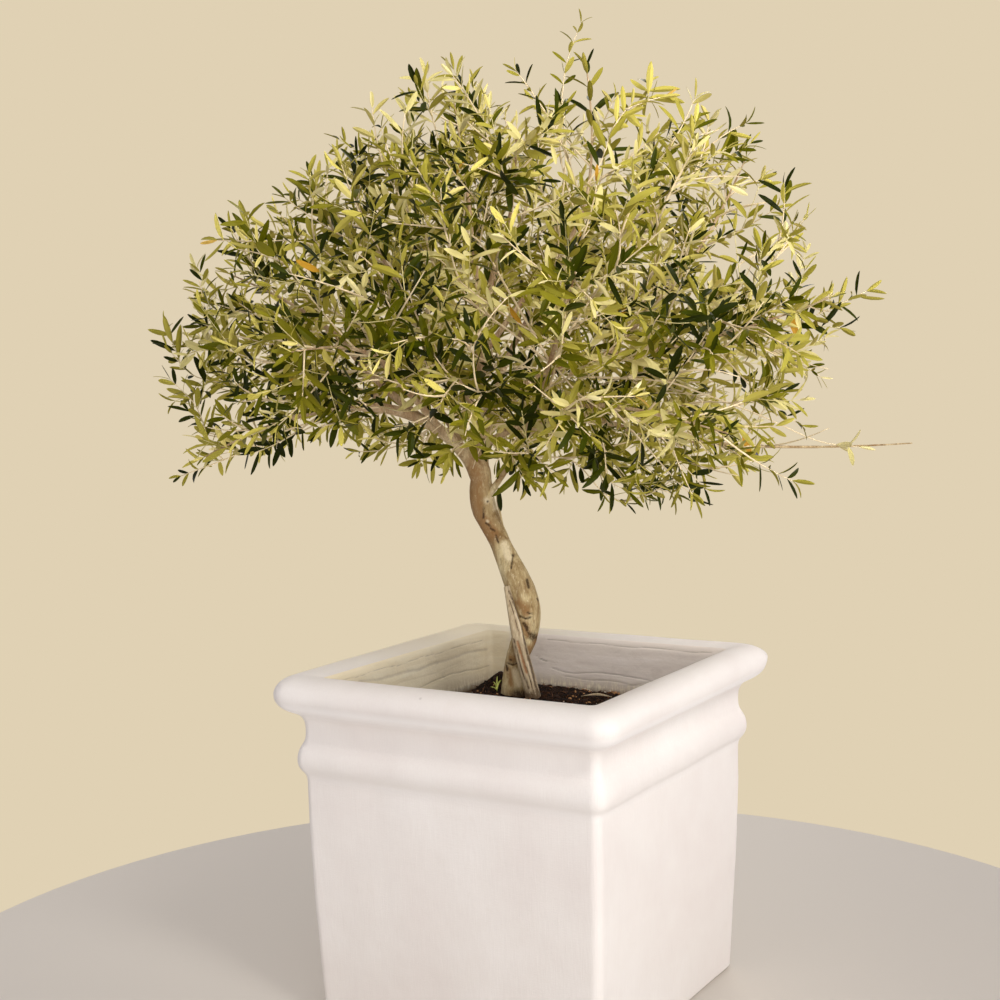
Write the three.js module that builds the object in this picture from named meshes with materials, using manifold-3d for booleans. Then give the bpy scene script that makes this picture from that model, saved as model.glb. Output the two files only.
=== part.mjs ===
// A young olive tree in a square white pot, in millimetres, +Z up.
// The origin is the centre of the pot's flat underside. +X runs along the pot's front face, +Y away from it.
// The tree stands in its own frame, turned about the pot's upright axis: [side, depth, height].

import * as THREE from 'three';
import { mergeVertices } from 'three/addons/utils/BufferGeometryUtils.js';
import Module from 'manifold-3d';

const wasm = await Module();
wasm.setup();

// What touches on the real plant stands this far apart here
const GAP = 0.3;

// Pot: half widths and heights of the moulded square section
const POT_HEIGHT = 600;
const FOOT_HALF = 269;
const FOOT_ROUNDING = 10;
const BODY_TOP = 421;
const NECK_HALF = 283;
const BEAD_MIDDLE = 456;
const BEAD_PROUD = 14;
const BEAD_RISE = 31;
const NECK_TOP = 512;
const COVE_HALF = 301;
const COVE_TOP = 535;
const RIM_HALF = 327;
const RIM_WIDEST = 569;
const CREST_HALF = 292;
const OPENING_HALF = 268;
const INNER_TOP_HALF = 260;
const INNER_FLOOR_HALF = 246;
const POT_FLOOR = 42;
const OPENING_DROP = 6;
const INNER_LIP_DROP = 26;
const BODY_CORNER = 16;
const CORNER_GROWTH = 0.5;
const INNER_CORNER = 14;
const CORNER_STEPS = 3;

// Soil: level at the walls, and the flat seat that the stems stand on
const SOIL_EDGE = 492;
const SOIL_SEAT = 540;
const SEAT_RADIUS = 62;
const SEAT_SIDE = -8;
const SEAT_DEPTH = -18;
const SOIL_RINGS = [0.25, 0.55, 0.8];
const SOIL_SIDE_POINTS = 3;
const HUMP = { side: -50, depth: 66, rise: 26, spread: 30 };

// The tree's frame is turned this far from the pot's
const TREE_TURN = THREE.MathUtils.degToRad(30.8);

// Trunk: [side, depth, height, radius] from the flat cut on the soil to the fork
const TRUNK = [
  [-22, 0, SOIL_SEAT + GAP, 27],
  [-19, -5, 600, 20],
  [-4, -14, 646, 22],
  [0, -18, 695, 24],
  [-16, -13, 742, 24],
  [-44, 2, 807, 18],
  [-72, 12, 875, 22],
  [-74, 10, 940, 16],
];
const TRUNK_SIDES = 12;
const TRUNK_RINGS = 18;

// The dry second stem that leans on the trunk, from the soil up
const SECOND_STEM = [
  [8, -42, SOIL_SEAT + GAP, 13],
  [-15, -49, 640, 11],
  [-34, -31, 735, 5],
];
const STEM_SIDES = 8;
const STEM_RINGS = 7;

// Boughs: the limb each is on and how far along it, a point halfway, the tip, and the radii at both ends.
// Those that start thicker than THICK_BOUGH get more sides.
const BOUGHS = [
  { name: 'left', on: 'trunk', at: 0.96, mid: [-155, -20, 1015], tip: [-265, -55, 1051], thick: [12.5, 8] },
  { name: 'leader', on: 'trunk', at: 1, mid: [-70, 22, 1060], tip: [-73, 10, 1230], thick: [10.5, 6] },
  { name: 'front', on: 'trunk', at: 0.87, mid: [-8, -60, 980], tip: [43, -190, 1121], thick: [5.5, 4] },
  { name: 'right', on: 'leader', at: 0.15, mid: [42, 30, 1023], tip: [175, 40, 1003], thick: [7, 5] },
  { name: 'right_mid', on: 'leader', at: 0.42, mid: [66, 0, 1108], tip: [221, -20, 1137], thick: [6, 4.5] },
  { name: 'top_right', on: 'leader', at: 0.72, mid: [12, 10, 1238], tip: [79, 0, 1320], thick: [5, 4] },
  { name: 'upper_right', on: 'right_mid', at: 0.75, mid: [225, 20, 1205], tip: [298, 40, 1289], thick: [4.5, 3.5] },
  { name: 'left_mid', on: 'left', at: 0.55, mid: [-245, -8, 1090], tip: [-306, 20, 1157], thick: [7, 5] },
  { name: 'upper_left', on: 'leader', at: 0.38, mid: [-155, 30, 1160], tip: [-216, 20, 1268], thick: [6, 4.5] },
  { name: 'front_left', on: 'left', at: 0.35, mid: [-180, -110, 1063], tip: [-223, -200, 1122], thick: [6, 4.5] },
  { name: 'front_right', on: 'front', at: 0.55, mid: [72, -160, 1040], tip: [135, -250, 1050], thick: [4.2, 3.5] },
  { name: 'back', on: 'leader', at: 0.1, mid: [-40, 120, 1085], tip: [0, 230, 1170], thick: [8, 5] },
  { name: 'back_left', on: 'left', at: 0.2, mid: [-150, 120, 1040], tip: [-215, 240, 1085], thick: [6.5, 4.8] },
  { name: 'back_right', on: 'right', at: 0.3, mid: [90, 130, 1045], tip: [170, 240, 1070], thick: [6, 4.5] },
  { name: 'top_back', on: 'leader', at: 0.85, mid: [-45, 85, 1270], tip: [0, 160, 1360], thick: [5, 4] },
  { name: 'top_front', on: 'leader', at: 0.6, mid: [-62, -70, 1205], tip: [-30, -150, 1310], thick: [5, 4] },
];
const THICK_BOUGH = 9;
const THICK_SIDES = 8;
const THIN_SIDES = 6;
const BOUGH_RINGS = 6;

// Foliage: each mass grows on from its bough's tip towards reach and keeps to the space nearest to centre.
// lowest is how far down it hangs, and bare is where along its stem the leaves stop.
const MASSES = [
  { name: 'left', reach: [-535, -110, 975], centre: [-450, -110, 1030] },
  { name: 'leader', reach: [-105, -30, 1560], centre: [-110, -20, 1480] },
  { name: 'front', reach: [72, -490, 1250], centre: [50, -400, 1220] },
  { name: 'right', reach: [694, 70, 962], centre: [420, 40, 1010], bare: 0.72 },
  { name: 'right_mid', reach: [522, -50, 1218], centre: [430, -40, 1200] },
  { name: 'top_right', reach: [120, -10, 1618], centre: [110, -10, 1500] },
  { name: 'upper_right', reach: [400, 55, 1468], centre: [370, 60, 1400] },
  { name: 'left_mid', reach: [-505, 36, 1285], centre: [-450, 40, 1250] },
  { name: 'upper_left', reach: [-300, 20, 1450], centre: [-290, 20, 1410] },
  { name: 'front_left', reach: [-345, -410, 1145], centre: [-320, -350, 1140] },
  { name: 'front_right', reach: [300, -395, 1010], centre: [280, -370, 1050], lowest: 868 },
  { name: 'back', reach: [25, 510, 1265], centre: [10, 420, 1240] },
  { name: 'back_left', reach: [-350, 405, 1085], centre: [-310, 370, 1090] },
  { name: 'back_right', reach: [345, 395, 1075], centre: [310, 370, 1080] },
  { name: 'top_back', reach: [25, 290, 1505], centre: [10, 260, 1470] },
  { name: 'top_front', reach: [-5, -295, 1480], centre: [-10, -260, 1440] },
];
const CELL_MARGIN = 1.5;
const LIMB_MARGIN = 1;

// The crown is half an egg that rests on its flat side
const CROWN = { depth: 5, base: 1000, side: 625, deep: 600, high: 650, lowest: 935 };

// How a mass grows: a stem, twigs round it by the golden angle, and leaves in opposite pairs
const CROWN_SEED = 2953;
const TURN_KEY = 1;
const ANGLE_KEY = 2;
const LENGTH_KEY = 3;
const ROLL_KEY = 4;
const VARIATION = 0.3;
const THIRD_TURN = (2 * Math.PI) / 3;
const GOLDEN_ANGLE = THREE.MathUtils.degToRad(137.5);
const STEM_EAGER = 0.35;
const STEM_END_RADIUS = 2.6;
const STEM_BENDS = [0, 0.2, 0.4];
const STEM_LEAVES_FROM = 0.5;
const TWIGS = 7;
const TWIG_FIRST = 0.14;
const TWIG_LAST = 0.97;
const TWIG_LENGTH = 265;
const TWIG_TAPER = 0.5;
const TWIG_SPREAD = THREE.MathUtils.degToRad(52);
const TWIG_LIFT = 0.16;
const TWIG_WANDER = 0.7;
const TWIG_SHORTEST = 70;
const TWIG_SHORTENING = 0.12;
const TWIG_RADII = [3.6, 2.6];
const TWIG_TESTS = 4;
const TWIG_LEAVES_FROM = 0.2;
const LEAF_PITCH = 40;
const FIRST_PAIR = 0.4;
const LEAF_ROOT = 7;
const LEAF_ANGLE = THREE.MathUtils.degToRad(48);
const LEAF_LENGTH = 88;
const LEAF_WIDTH = 21;
const LEAF_THICK = 3.4;
const LEAF_WIDEST = 0.45;
const LEAF_ROLL = 1.4;
const LEAF_OUTSIDE = 22;
const UP = new THREE.Vector3(0, 0, 1);
const GUIDE = new THREE.Vector3(0.36, 0.48, 0.8);

const whitewash = new THREE.MeshStandardMaterial({ color: 0xf0ebe4, roughness: 0.85, metalness: 0 });
const earth = new THREE.MeshStandardMaterial({ color: 0x2d1e15, roughness: 0.95, metalness: 0 });
const bark = new THREE.MeshStandardMaterial({ color: 0xa38e70, roughness: 0.8, metalness: 0 });
const deadWood = new THREE.MeshStandardMaterial({ color: 0x93887a, roughness: 0.85, metalness: 0 });
const leafGreen = new THREE.MeshStandardMaterial({ color: 0x6c7540, roughness: 0.55, metalness: 0 });

// A repeatable number from 0 to 1 for each set of whole numbers
function draw(...keys) {
  let state = CROWN_SEED;
  for (const key of keys) {
    state = Math.imul(state ^ (key + 0x9e3779b9), 0x85ebca6b);
    state ^= state >>> 13;
  }
  state = Math.imul(state, 0xc2b2ae35);
  state ^= state >>> 16;
  return (state >>> 0) / 4294967296;
}

function vector(values) {
  return new THREE.Vector3(values[0], values[1], values[2]);
}

// A direction that is never in line with along
function crossGuide(along) {
  return Math.abs(along.z) < 0.9 ? UP : new THREE.Vector3(1, 0, 0);
}

// A share near 1 that varies from piece to piece
function vary(...keys) {
  return 1 + VARIATION * (draw(...keys) - 0.5);
}

// A solid from points and triangles, turned right side out
function makeSolid(points, triangles) {
  let volume = 0;
  for (const [a, b, c] of triangles) {
    volume += points[a].dot(new THREE.Vector3().crossVectors(points[b], points[c]));
  }
  const order = volume > 0 ? triangles : triangles.map(([a, b, c]) => [a, c, b]);
  return new wasm.Manifold(new wasm.Mesh({
    numProp: 3,
    vertProperties: new Float32Array(points.flatMap((p) => [p.x, p.y, p.z])),
    triVerts: new Uint32Array(order.flat()),
  }));
}

// A closed body through rings of equal count, capped at both ends
function loft(rings) {
  const count = rings[0].length;
  const points = rings.flat();
  const triangles = [];
  for (let ring = 0; ring < rings.length - 1; ring += 1) {
    for (let i = 0; i < count; i += 1) {
      const a = ring * count + i;
      const b = ring * count + ((i + 1) % count);
      triangles.push([a, b, b + count], [a, b + count, a + count]);
    }
  }
  const last = (rings.length - 1) * count;
  for (let i = 1; i < count - 1; i += 1) {
    triangles.push([0, i + 1, i], [last, last + i, last + i + 1]);
  }
  return makeSolid(points, triangles);
}

// A tapering rod of flat sides round a path of points. Its foot is cut square, or square to a given direction.
function rod(path, radii, sides, footDirection = null) {
  const rings = [];
  let across = null;
  for (let i = 0; i < path.length; i += 1) {
    const before = path[Math.max(i - 1, 0)];
    const after = path[Math.min(i + 1, path.length - 1)];
    const chord = new THREE.Vector3().subVectors(after, before).normalize();
    const along = i === 0 && footDirection ? footDirection : chord;
    const guide = across ?? crossGuide(along);
    across = guide.clone().addScaledVector(along, -guide.dot(along)).normalize();
    const third = new THREE.Vector3().crossVectors(along, across);
    const ring = [];
    for (let k = 0; k < sides; k += 1) {
      const angle = (2 * Math.PI * k) / sides;
      ring.push(path[i].clone()
        .addScaledVector(across, radii[i] * Math.cos(angle))
        .addScaledVector(third, radii[i] * Math.sin(angle)));
    }
    rings.push(ring);
  }
  return loft(rings);
}

function largestPiece(solid) {
  const pieces = solid.decompose();
  return pieces.reduce((best, piece) => (piece.volume() > best.volume() ? piece : best));
}

function namedMesh(name, solid, material) {
  const { vertProperties, triVerts } = solid.getMesh();
  const geometry = new THREE.BufferGeometry();
  geometry.setAttribute('position', new THREE.BufferAttribute(vertProperties, 3));
  geometry.setIndex(new THREE.BufferAttribute(triVerts, 1));
  const mesh = new THREE.Mesh(mergeVertices(geometry), material);
  mesh.name = name;
  return mesh;
}

// Pot

// A ring of the pot's plan, with as many points as asked along each straight side
function roundedSquare(half, corner, height, sidePoints = 0) {
  const ring = [];
  const centre = half - corner;
  for (let quarter = 0; quarter < 4; quarter += 1) {
    const turn = (quarter * Math.PI) / 2;
    const cx = centre * (Math.cos(turn) - Math.sin(turn));
    const cy = centre * (Math.sin(turn) + Math.cos(turn));
    for (let step = 0; step <= CORNER_STEPS; step += 1) {
      const angle = turn + (step / CORNER_STEPS) * (Math.PI / 2);
      ring.push(new THREE.Vector3(cx + corner * Math.cos(angle), cy + corner * Math.sin(angle), height));
    }
    for (let point = 1; point <= sidePoints; point += 1) {
      const along = centre * (1 - (2 * point) / (sidePoints + 1));
      ring.push(new THREE.Vector3(
        along * Math.cos(turn) - half * Math.sin(turn),
        along * Math.sin(turn) + half * Math.cos(turn),
        height,
      ));
    }
  }
  return ring;
}

// Points of an elliptical arc of the section, from one angle to another in quarter turns
function sectionArc(half, height, wide, tall, from, to, steps) {
  const points = [];
  for (let step = 0; step <= steps; step += 1) {
    const angle = ((from + (to - from) * (step / steps)) * Math.PI) / 2;
    points.push([half + wide * Math.cos(angle), height + tall * Math.sin(angle)]);
  }
  return points;
}

function innerHalf(height) {
  const share = (height - POT_FLOOR) / (POT_HEIGHT - INNER_LIP_DROP - POT_FLOOR);
  return INNER_FLOOR_HALF + (INNER_TOP_HALF - INNER_FLOOR_HALF) * share;
}

function makePot() {
  const rimWide = RIM_HALF - CREST_HALF;
  const outside = [
    ...sectionArc(FOOT_HALF - FOOT_ROUNDING, FOOT_ROUNDING, FOOT_ROUNDING, FOOT_ROUNDING, -1, 0, 2),
    [NECK_HALF, BODY_TOP],
    ...sectionArc(NECK_HALF, BEAD_MIDDLE, BEAD_PROUD, BEAD_RISE, -1, 1, 6),
    ...sectionArc(COVE_HALF, NECK_TOP, NECK_HALF - COVE_HALF, COVE_TOP - NECK_TOP, 0, 1, 3),
    ...sectionArc(COVE_HALF, RIM_WIDEST, RIM_HALF - COVE_HALF, RIM_WIDEST - COVE_TOP, -1, 0, 3).slice(1),
    ...sectionArc(CREST_HALF, RIM_WIDEST, rimWide, POT_HEIGHT - RIM_WIDEST, 0, 1, 4).slice(1),
  ];
  const rings = outside.map(([half, height]) => {
    const corner = BODY_CORNER + Math.max(0, half - NECK_HALF) * CORNER_GROWTH;
    return roundedSquare(half, corner, height);
  });
  const inside = [
    [OPENING_HALF, POT_HEIGHT - OPENING_DROP],
    [INNER_TOP_HALF, POT_HEIGHT - INNER_LIP_DROP],
    [INNER_FLOOR_HALF, POT_FLOOR],
  ];
  for (const [half, height] of inside) {
    rings.push(roundedSquare(half, INNER_CORNER, height));
  }
  return loft(rings);
}

// Soil

function turnedPoint(side, depth) {
  return new THREE.Vector2(side, depth).rotateAround(new THREE.Vector2(), TREE_TURN);
}

function makeSoil() {
  const seat = turnedPoint(SEAT_SIDE, SEAT_DEPTH);
  const hump = turnedPoint(HUMP.side, HUMP.depth);
  const corner = INNER_CORNER - GAP;
  const bottom = roundedSquare(innerHalf(POT_FLOOR + GAP) - GAP, corner, POT_FLOOR + GAP, SOIL_SIDE_POINTS);
  const edge = roundedSquare(innerHalf(SOIL_EDGE) - GAP, corner, SOIL_EDGE, SOIL_SIDE_POINTS);
  const rings = [bottom, edge];
  const flat = edge.map((outer) => {
    const angle = Math.atan2(outer.y - seat.y, outer.x - seat.x);
    const x = seat.x + SEAT_RADIUS * Math.cos(angle);
    const y = seat.y + SEAT_RADIUS * Math.sin(angle);
    return new THREE.Vector3(x, y, SOIL_SEAT);
  });
  for (const share of SOIL_RINGS) {
    rings.push(edge.map((outer, i) => {
      const point = outer.clone().lerp(flat[i], share);
      const away = Math.hypot(point.x - hump.x, point.y - hump.y) / HUMP.spread;
      point.z = THREE.MathUtils.lerp(SOIL_EDGE, SOIL_SEAT, Math.sin((share * Math.PI) / 2));
      point.z += HUMP.rise * Math.exp(-0.5 * away * away);
      return point;
    }));
  }
  rings.push(flat);
  return loft(rings);
}

// Limbs

// A limb of smooth points: its path and its radius at each
function splineLimb(rows, steps) {
  const curve = new THREE.CatmullRomCurve3(rows.map(vector), false, 'catmullrom');
  const path = [];
  const radii = [];
  for (let step = 0; step <= steps; step += 1) {
    const place = (step / steps) * (rows.length - 1);
    const row = Math.min(Math.floor(place), rows.length - 2);
    path.push(curve.getPoint(step / steps));
    radii.push(THREE.MathUtils.lerp(rows[row][3], rows[row + 1][3], place - row));
  }
  return { path, radii };
}

function pointAlong(limb, share) {
  const place = share * (limb.path.length - 1);
  const row = Math.min(Math.floor(place), limb.path.length - 2);
  return limb.path[row].clone().lerp(limb.path[row + 1], place - row);
}

function endDirection(limb) {
  const last = limb.path.length - 1;
  return new THREE.Vector3().subVectors(limb.path[last], limb.path[last - 1]).normalize();
}

// A bent limb that passes its middle point halfway
function boughLimb(start, mid, tip, thick) {
  const control = mid.clone().multiplyScalar(2).addScaledVector(start, -0.5).addScaledVector(tip, -0.5);
  const curve = new THREE.QuadraticBezierCurve3(start, control, tip);
  const path = curve.getPoints(BOUGH_RINGS);
  const radii = path.map((point, i) => THREE.MathUtils.lerp(thick[0], thick[1], i / BOUGH_RINGS));
  return { path, radii };
}

function growLimbs() {
  const limbs = new Map();
  limbs.set('trunk', { ...splineLimb(TRUNK, TRUNK_RINGS), sides: TRUNK_SIDES, foot: UP });
  limbs.set('second_stem', { ...splineLimb(SECOND_STEM, STEM_RINGS), sides: STEM_SIDES, foot: UP });
  for (const bough of BOUGHS) {
    const parent = limbs.get(bough.on);
    const start = pointAlong(parent, bough.at);
    const foot = bough.at === 1 ? endDirection(parent) : null;
    if (foot) {
      start.addScaledVector(foot, GAP);
    }
    const limb = boughLimb(start, vector(bough.mid), vector(bough.tip), bough.thick);
    limbs.set(bough.name, { ...limb, sides: bough.thick[0] > THICK_BOUGH ? THICK_SIDES : THIN_SIDES, foot });
  }
  return limbs;
}

// Each limb is cut clear of the ones before it
function limbSolids(limbs) {
  const solids = new Map();
  const cutters = [];
  for (const [name, limb] of limbs) {
    let solid = rod(limb.path, limb.radii, limb.sides, limb.foot);
    for (const cutter of cutters) {
      solid = solid.subtract(cutter);
    }
    solids.set(name, largestPiece(solid));
    const wider = limb.radii.map((radius) => radius + GAP / Math.cos(Math.PI / limb.sides));
    cutters.push(rod(limb.path, wider, limb.sides, limb.foot));
  }
  return solids;
}

// Foliage

// The shortest way between two straight stretches
function stretchDistance(a0, a1, b0, b1) {
  const u = new THREE.Vector3().subVectors(a1, a0);
  const v = new THREE.Vector3().subVectors(b1, b0);
  const w = new THREE.Vector3().subVectors(a0, b0);
  const uu = u.dot(u);
  const uv = u.dot(v);
  const vv = v.dot(v);
  const uw = u.dot(w);
  const vw = v.dot(w);
  const bottom = uu * vv - uv * uv;
  let s = bottom > 1e-9 ? THREE.MathUtils.clamp((uv * vw - vv * uw) / bottom, 0, 1) : 0;
  const t = THREE.MathUtils.clamp((uv * s + vw) / vv, 0, 1);
  s = THREE.MathUtils.clamp((uv * t - uw) / uu, 0, 1);
  return w.clone().addScaledVector(u, s).addScaledVector(v, -t).length();
}

function touchesLimb(limbs, start, end, halfWidth) {
  for (const { path, radii } of limbs.values()) {
    for (let i = 0; i < path.length - 1; i += 1) {
      const room = Math.max(radii[i], radii[i + 1]) + halfWidth + LIMB_MARGIN;
      if (stretchDistance(start, end, path[i], path[i + 1]) < room) {
        return true;
      }
    }
  }
  return false;
}

// Whether a point is nearer to its own mass's centre than to any other
function insideSpace(mass, point) {
  const own = vector(mass.centre);
  for (const other of MASSES) {
    if (other !== mass) {
      const theirs = vector(other.centre);
      const lead = point.distanceToSquared(theirs) - point.distanceToSquared(own);
      if (lead / (2 * own.distanceTo(theirs)) < CELL_MARGIN) {
        return false;
      }
    }
  }
  return true;
}

function insideCrown(mass, point, extra) {
  const side = point.x / (CROWN.side + extra);
  const deep = (point.y - CROWN.depth) / (CROWN.deep + extra);
  const high = Math.max(0, point.z - CROWN.base) / (CROWN.high + extra);
  return side * side + deep * deep + high * high < 1 && point.z > (mass.lowest ?? CROWN.lowest) - extra;
}

// A direction leaned out from along by an angle, at a turn round it
function leanOut(along, turn, angle) {
  const across = new THREE.Vector3().crossVectors(along, crossGuide(along)).normalize();
  across.applyAxisAngle(along, turn);
  return along.clone().multiplyScalar(Math.cos(angle)).addScaledVector(across, Math.sin(angle));
}

// Whether a leaf keeps to its mass's space and the crown, and off every limb
function leafFits(mass, limbs, middles, tip, origin, outside) {
  return [...middles, tip].every((point) => insideSpace(mass, point))
    && insideCrown(mass, tip, outside)
    && !touchesLimb(limbs, origin, tip, LEAF_WIDTH / 2);
}

// The middle corners and the tip of a leaf that points along direction, its blade facing up but for its roll
function leafCorners(origin, direction, roll) {
  const flat = new THREE.Vector3().crossVectors(UP, direction).normalize().applyAxisAngle(direction, roll);
  const ridge = new THREE.Vector3().crossVectors(direction, flat);
  const middle = origin.clone().addScaledVector(direction, LEAF_LENGTH * LEAF_WIDEST);
  const middles = [
    middle.clone().addScaledVector(flat, LEAF_WIDTH / 2),
    middle.clone().addScaledVector(ridge, LEAF_THICK),
    middle.clone().addScaledVector(flat, -LEAF_WIDTH / 2),
  ];
  return { middles, tip: origin.clone().addScaledVector(direction, LEAF_LENGTH) };
}

// Grows a leaf out of one triangle of the shoot's side, in place of that triangle
function growLeaf(points, triangles, root, { middles, tip }) {
  const turns = [0, 1, 2].map((turn) => {
    const away = root.reduce((sum, corner, i) => sum + points[corner].distanceTo(middles[(i + turn) % 3]), 0);
    return { turn, away };
  });
  const { turn } = turns.reduce((best, next) => (next.away < best.away ? next : best));
  const first = points.length;
  points.push(...middles, tip);
  for (let i = 0; i < 3; i += 1) {
    const next = (i + 1) % 3;
    const low = first + ((i + turn) % 3);
    const high = first + ((next + turn) % 3);
    triangles.push([root[i], root[next], high], [root[i], high, low], [low, high, first + 3]);
  }
}

// The leaves of a shoot that fit, in pairs on two of its three sides, each pair turned on from the last
function planLeaves(mass, limbs, shoot, keys) {
  const { curve, thick, frameAt, leafShares, outside } = shoot;
  const leaves = [];
  leafShares.forEach((share, pair) => {
    const { along, across } = frameAt(share);
    const radius = THREE.MathUtils.lerp(thick[0], thick[1], share) / 2;
    for (const side of [pair % 3, (pair + 1) % 3]) {
      const outward = across.clone().applyAxisAngle(along, (side + 0.5) * THIRD_TURN);
      const origin = curve.getPoint(share).addScaledVector(outward, radius);
      const angle = LEAF_ANGLE * vary(...keys, pair, side, ANGLE_KEY);
      const direction = along.clone().multiplyScalar(Math.cos(angle)).addScaledVector(outward, Math.sin(angle));
      const corners = leafCorners(origin, direction, (draw(...keys, pair, side, ROLL_KEY) - 0.5) * LEAF_ROLL);
      if (leafFits(mass, limbs, corners.middles, corners.tip, origin, outside)) {
        leaves.push({ share, side, corners });
      }
    }
  });
  return leaves;
}

// A three-sided shoot along a curve, with leaves in pairs at the shares given and one at its end
function growShoot(mass, limbs, shoot, keys) {
  const { curve, thick, foot, bends, endLeaf, outside } = shoot;
  const guide = new THREE.Vector3().crossVectors(curve.getTangent(0), GUIDE).normalize();
  const frameAt = (share) => {
    const along = share === 0 && foot ? foot : curve.getTangent(share);
    const across = guide.clone().addScaledVector(along, -guide.dot(along)).normalize();
    return { along, across };
  };
  const leaves = planLeaves(mass, limbs, { ...shoot, frameAt }, keys);
  const half = LEAF_ROOT / 2 / curve.getLength();
  const stops = [...bends, 1];
  for (const share of new Set(leaves.map((leaf) => leaf.share))) {
    stops.push(share - half, share + half);
  }
  stops.sort((one, other) => one - other);
  const points = [];
  for (const share of stops) {
    const { along, across } = frameAt(share);
    const radius = THREE.MathUtils.lerp(thick[0], thick[1], share);
    for (let corner = 0; corner < 3; corner += 1) {
      const spoke = across.clone().applyAxisAngle(along, corner * THIRD_TURN);
      points.push(curve.getPoint(share).addScaledVector(spoke, radius));
    }
  }
  const triangles = [[0, 2, 1]];
  for (let stop = 0; stop < stops.length - 1; stop += 1) {
    for (let side = 0; side < 3; side += 1) {
      const a = 3 * stop + side;
      const b = 3 * stop + ((side + 1) % 3);
      triangles.push([a, b + 3, a + 3]);
      const leaf = leaves.find((one) => one.side === side && one.share - half === stops[stop]);
      if (leaf) {
        growLeaf(points, triangles, [a, b, b + 3], leaf.corners);
      } else {
        triangles.push([a, b, b + 3]);
      }
    }
  }
  const last = 3 * (stops.length - 1);
  const end = curve.getPoint(1);
  const corners = leafCorners(end, curve.getTangent(1), (draw(...keys, ROLL_KEY) - 0.5) * LEAF_ROLL);
  if (endLeaf && leafFits(mass, limbs, corners.middles, corners.tip, end, outside)) {
    growLeaf(points, triangles, [last, last + 1, last + 2], corners);
  } else {
    triangles.push([last, last + 1, last + 2]);
  }
  return makeSolid(points, triangles);
}

// Where the pairs of leaves sit between two shares of a curve
function pairShares(curve, from, to) {
  const pairs = Math.floor((curve.getLength() * (to - from)) / LEAF_PITCH);
  return Array.from({ length: pairs }, (unused, pair) => from + ((pair + FIRST_PAIR) / pairs) * (to - from));
}

// The longest twig that keeps to the mass's space and clear of the limbs
function growTwig(mass, start, direction, length, limbs) {
  for (let share = 1; share * length > TWIG_SHORTEST; share -= TWIG_SHORTENING) {
    const reach = share * length;
    const control = start.clone().addScaledVector(direction, reach / 2);
    const end = start.clone().addScaledVector(direction, reach).addScaledVector(UP, TWIG_LIFT * reach);
    const curve = new THREE.QuadraticBezierCurve3(start, control, end);
    const path = curve.getPoints(TWIG_TESTS);
    const leafTip = end.clone().addScaledVector(curve.getTangent(1), LEAF_LENGTH);
    const kept = [...path, leafTip].every((point) => insideSpace(mass, point))
      && insideCrown(mass, leafTip, LEAF_OUTSIDE);
    if (kept && !path.slice(1).some((point, i) => touchesLimb(limbs, path[i], point, TWIG_RADII[0]))) {
      return curve;
    }
  }
  return null;
}

function growMass(mass, number, limbs) {
  const bough = limbs.get(mass.name);
  const foot = endDirection(bough);
  const base = bough.path.at(-1).clone().addScaledVector(foot, GAP);
  const reach = vector(mass.reach);
  const control = base.clone().addScaledVector(foot, STEM_EAGER * base.distanceTo(reach));
  const curve = new THREE.QuadraticBezierCurve3(base, control, reach);
  const bare = mass.bare ?? 1;
  const stem = {
    curve,
    thick: [bough.radii.at(-1), STEM_END_RADIUS],
    foot,
    bends: STEM_BENDS,
    leafShares: pairShares(curve, STEM_LEAVES_FROM, bare),
    endLeaf: bare === 1,
    outside: LEAF_OUTSIDE + LEAF_LENGTH,
  };
  let whole = growShoot(mass, limbs, stem, [number]);
  for (let twig = 0; twig < TWIGS; twig += 1) {
    const share = (TWIG_FIRST + (TWIG_LAST - TWIG_FIRST) * ((twig + 0.5) / TWIGS)) * bare;
    const turn = twig * GOLDEN_ANGLE + draw(number, twig, TURN_KEY) * TWIG_WANDER;
    const angle = TWIG_SPREAD * vary(number, twig, ANGLE_KEY);
    const direction = leanOut(curve.getTangent(share), turn, angle);
    const length = TWIG_LENGTH * (1 - TWIG_TAPER * share) * vary(number, twig, LENGTH_KEY);
    const twigCurve = growTwig(mass, curve.getPoint(share), direction, length, limbs);
    if (twigCurve) {
      const shoot = {
        curve: twigCurve,
        thick: TWIG_RADII,
        bends: [0],
        leafShares: pairShares(twigCurve, TWIG_LEAVES_FROM, 1),
        endLeaf: true,
        outside: LEAF_OUTSIDE,
      };
      whole = whole.add(growShoot(mass, limbs, shoot, [number, twig]));
    }
  }
  return largestPiece(whole);
}

const limbs = growLimbs();
const tree = new THREE.Group();
tree.rotation.z = TREE_TURN;
for (const [name, solid] of limbSolids(limbs)) {
  const nodeName = name === 'trunk' || name === 'second_stem' ? name : `bough_${name}`;
  tree.add(namedMesh(nodeName, solid, name === 'second_stem' ? deadWood : bark));
}
MASSES.forEach((mass, number) => {
  tree.add(namedMesh(`foliage_${mass.name}`, growMass(mass, number, limbs), leafGreen));
});

const plant = new THREE.Group();
plant.add(namedMesh('pot', makePot(), whitewash));
plant.add(namedMesh('soil', makeSoil(), earth));
plant.add(tree);

export default plant;
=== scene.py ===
import math
import random
from itertools import product, zip_longest

import bpy
import numpy as np
from mathutils import Matrix, Vector, noise


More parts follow.
